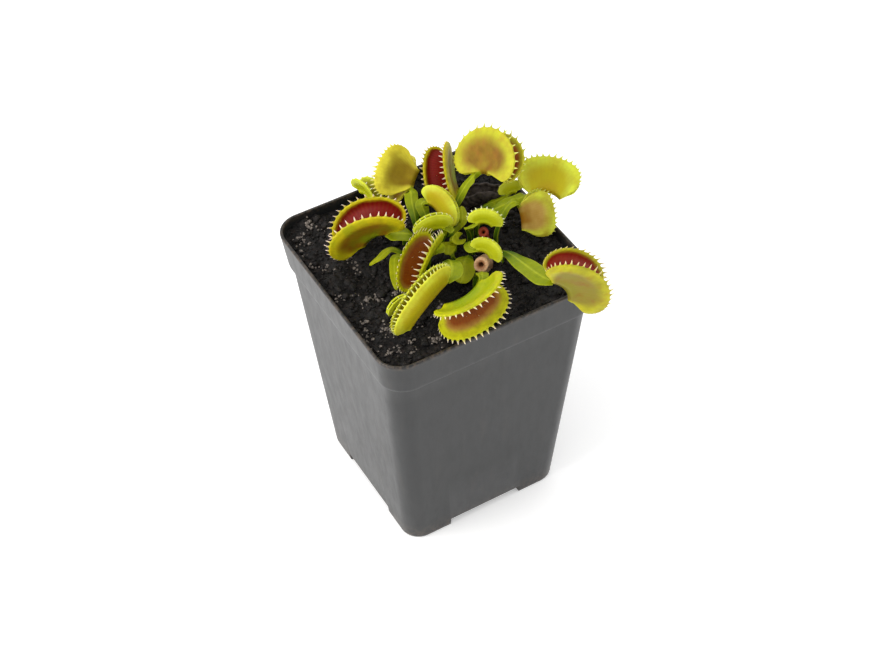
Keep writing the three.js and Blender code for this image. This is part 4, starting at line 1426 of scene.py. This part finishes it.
def add_cut_stalk(bm, stalk):
    """A stalk that leans over to its cut, where a bore shows."""
    x, y = stalk["root"]
    top = Vector(stalk["cut"])
    knee = Vector((x, y, SOIL_Z + STEM_RISE))
    bend = knee.lerp(top, 0.3)
    bend.z = knee.z + 5
    side = Vector(stalk["side"]).normalized()
    radius, bore = stalk["radius"], stalk["bore"]
    tip = (top - bend).normalized()
    rings = [(Vector((x, y, SOIL_Z - 3)), UP, 0)]
    rings += [(Vector((x, y, SOIL_Z - 3 + k)), UP, radius) for k in (0.5, 3, 5)]
    for k in range(CUT_BENDS + 1):
        t = k / CUT_BENDS
        centre = knee * (1 - t) ** 2 + bend * (2 * t * (1 - t)) + top * t * t
        way = ((bend - knee) * (1 - t) + (top - bend) * t).normalized()
        uneven = (1 + 0.05 * math.sin(9 * t)) * mix(1, 1.06, smooth(t, 0.8, 1))
        rings.append((centre, way, radius * uneven))
    for depth, size in ((-0.12, 1.03), (0.02, 0.97), (0.05, 0.9)):
        rings.append((top + tip * depth, tip, radius * size))
    for share in (0.3, 0.7):
        rings.append((top + tip * mix(-0.05, -0.25, share), tip, mix(radius * 0.88, bore, share)))
    rings += [(top - tip * depth, tip, bore * size) for depth, size in ((0.4, 0.98), (1.5, 0.9), (4.5, 0.7))]
    rings.append((top - tip * 4.6, tip, 0))

    def place(i, j):
        centre, way, size = rings[i]
        up = way.cross(side).normalized()
        across = up.cross(way)
        a = 2 * math.pi * j / CUT_ROUND
        uneven = 1 + 0.045 * noise.noise(Vector((math.cos(a) * 1.6, math.sin(a) * 1.6, centre.z * 0.25)))
        uneven += 0.012 * math.cos(CUT_RIBS * a)
        return centre + (across * math.cos(a) + up * math.sin(a)) * (size * uneven)

    add_skin(bm, len(rings) - 1, CUT_ROUND, place, lambda t, s, i, j: ((t, s), 0))


class FLYTRAP_OT_blades(bpy.types.Operator):
    """Small leaves of the crown that carry no trap"""

    bl_idname = "flytrap.blades"
    bl_label = "Small blades"

    def execute(self, context):
        values = settings()
        finish = stalk_finish("small_blade", values.blade_low, values.blade_high, colours_of("lime").band)
        for number, (name, blade) in enumerate(BLADES.items()):
            bm = bmesh.new()
            add_blade(bm, blade, random.Random(values.seed * 50 + number))
            finish_piece(f"small_blade_{name}", bm, [finish], [f"blade_{name}"])
        return {"FINISHED"}


class FLYTRAP_OT_stalks(bpy.types.Operator):
    """Flower stalks that have been cut off"""

    bl_idname = "flytrap.stalks"
    bl_label = "Cut stalks"

    def execute(self, context):
        values = settings()
        finishes = {
            "flower": cut_finish("cut_stalk_fresh", tinted(values.cut, 0.7), values.cut, linear("96623e")),
            "old": cut_finish("cut_stalk_old", values.bark, tinted(values.bark, 1.5), linear("8c3a1a")),
        }
        for name, stalk in STALKS.items():
            bm = bmesh.new()
            add_cut_stalk(bm, stalk)
            finish_piece(f"cut_stalk_{name}", bm, [finishes[name]], [f"stalk_{name}"])
        return {"FINISHED"}


# ---- stage ----
def way_to(heading, elevation):
    """Unit vector towards a heading, 0 on the -Y side and 90 on the +X side, and an elevation."""
    a, e = math.radians(heading), math.radians(elevation)
    return Vector((math.sin(a) * math.cos(e), -math.cos(a) * math.cos(e), math.sin(e)))


class FLYTRAP_OT_stage(bpy.types.Operator):
    """Pale floor, soft studio light and the camera"""

    bl_idname = "flytrap.stage"
    bl_label = "Stage"

    def execute(self, context):
        scene = context.scene
        scene.view_settings.view_transform = "Standard"
        world = bpy.data.worlds.new("studio")
        world.use_nodes = True
        sky = world.node_tree.nodes["Background"]
        sky.inputs["Color"].default_value = (1, 1, 1, 1)
        sky.inputs["Strength"].default_value = 1.0
        scene.world = world

        bm = bmesh.new()
        bmesh.ops.create_grid(bm, x_segments=1, y_segments=1, size=6)
        mesh = bpy.data.meshes.new("floor")
        bm.to_mesh(mesh)
        bm.free()
        floor_finish = Finish("floor", Roughness=0.9, Specular_IOR_Level=0.1)
        paper = floor_finish.ramp(floor_finish.noise(400.0, 2), (
            (0.3, (0.94, 0.94, 0.94)), (0.7, (0.96, 0.96, 0.96)),
        ))
        floor_finish.shader.inputs["Emission Color"].default_value = (1, 1, 1, 1)
        floor_finish.shader.inputs["Emission Strength"].default_value = FLOOR_GLOW
        mesh.materials.append(floor_finish.done(Base_Color=paper))
        floor = bpy.data.objects.new("floor", mesh)
        scene.collection.objects.link(floor)

        data = bpy.data.lights.new("key", "AREA")
        data.energy, data.size, data.color = KEY_POWER, KEY_SIZE, KEY_TONE
        lamp = bpy.data.objects.new("key", data)
        back = way_to(KEY_HEADING, KEY_ELEVATION)
        lamp.location = POT_CENTRE + KEY_AIM + back * KEY_DISTANCE
        lamp.rotation_mode = "QUATERNION"
        lamp.rotation_quaternion = back.to_track_quat("Z", "Y")
        scene.collection.objects.link(lamp)

        data = bpy.data.cameras.new("camera")
        data.lens, data.sensor_width = LENS, 36
        data.clip_start, data.clip_end = 0.01, 20
        camera = bpy.data.objects.new("camera", data)
        back = way_to(CAMERA_HEADING, CAMERA_ELEVATION)
        roll = Matrix.Rotation(math.radians(CAMERA_ROLL), 3, "Z")
        turn = back.to_track_quat("Z", "Y").to_matrix() @ roll
        camera.rotation_mode = "QUATERNION"
        camera.rotation_quaternion = turn.to_quaternion()
        camera.location = POT_CENTRE + CAMERA_OFFSET * MM
        scene.collection.objects.link(camera)
        scene.camera = camera
        return {"FINISHED"}


OPERATORS = (
    FLYTRAP_OT_pot, FLYTRAP_OT_peat, FLYTRAP_OT_crumbs, FLYTRAP_OT_grit, FLYTRAP_OT_moss,
    FLYTRAP_OT_traps, FLYTRAP_OT_blades, FLYTRAP_OT_stalks, FLYTRAP_OT_stage,
)


class FLYTRAP_PT_panel(bpy.types.Panel):
    """Lists the builders of the plant, its pot and the stage"""

    bl_idname = "FLYTRAP_PT_panel"
    bl_label = "Flytrap"
    bl_space_type = "VIEW_3D"
    bl_region_type = "UI"
    bl_category = "Flytrap"

    def draw(self, context):
        layout = self.layout
        for name in FLYTRAP_PG_settings.__annotations__:
            layout.prop(context.scene.flytrap, name)
        for operator in OPERATORS:
            layout.operator(operator.bl_idname)


def register():
    for kind, group in TRAP_COLOURS.items():
        bpy.utils.register_class(group)
        setattr(bpy.types.Scene, f"flytrap_{kind}", PointerProperty(type=group))
    for item in (FLYTRAP_PG_settings, *OPERATORS, FLYTRAP_PT_panel):
        bpy.utils.register_class(item)
    bpy.types.Scene.flytrap = PointerProperty(type=FLYTRAP_PG_settings)


def unregister():
    del bpy.types.Scene.flytrap
    for item in (FLYTRAP_PT_panel, *reversed(OPERATORS), FLYTRAP_PG_settings):
        bpy.utils.unregister_class(item)
    for kind, group in TRAP_COLOURS.items():
        delattr(bpy.types.Scene, f"flytrap_{kind}")
        bpy.utils.unregister_class(group)


def main():
    register()
    for operator in OPERATORS:
        group, name = operator.bl_idname.split(".")
        getattr(getattr(bpy.ops, group), name)()


if __name__ == "__main__":
    main()
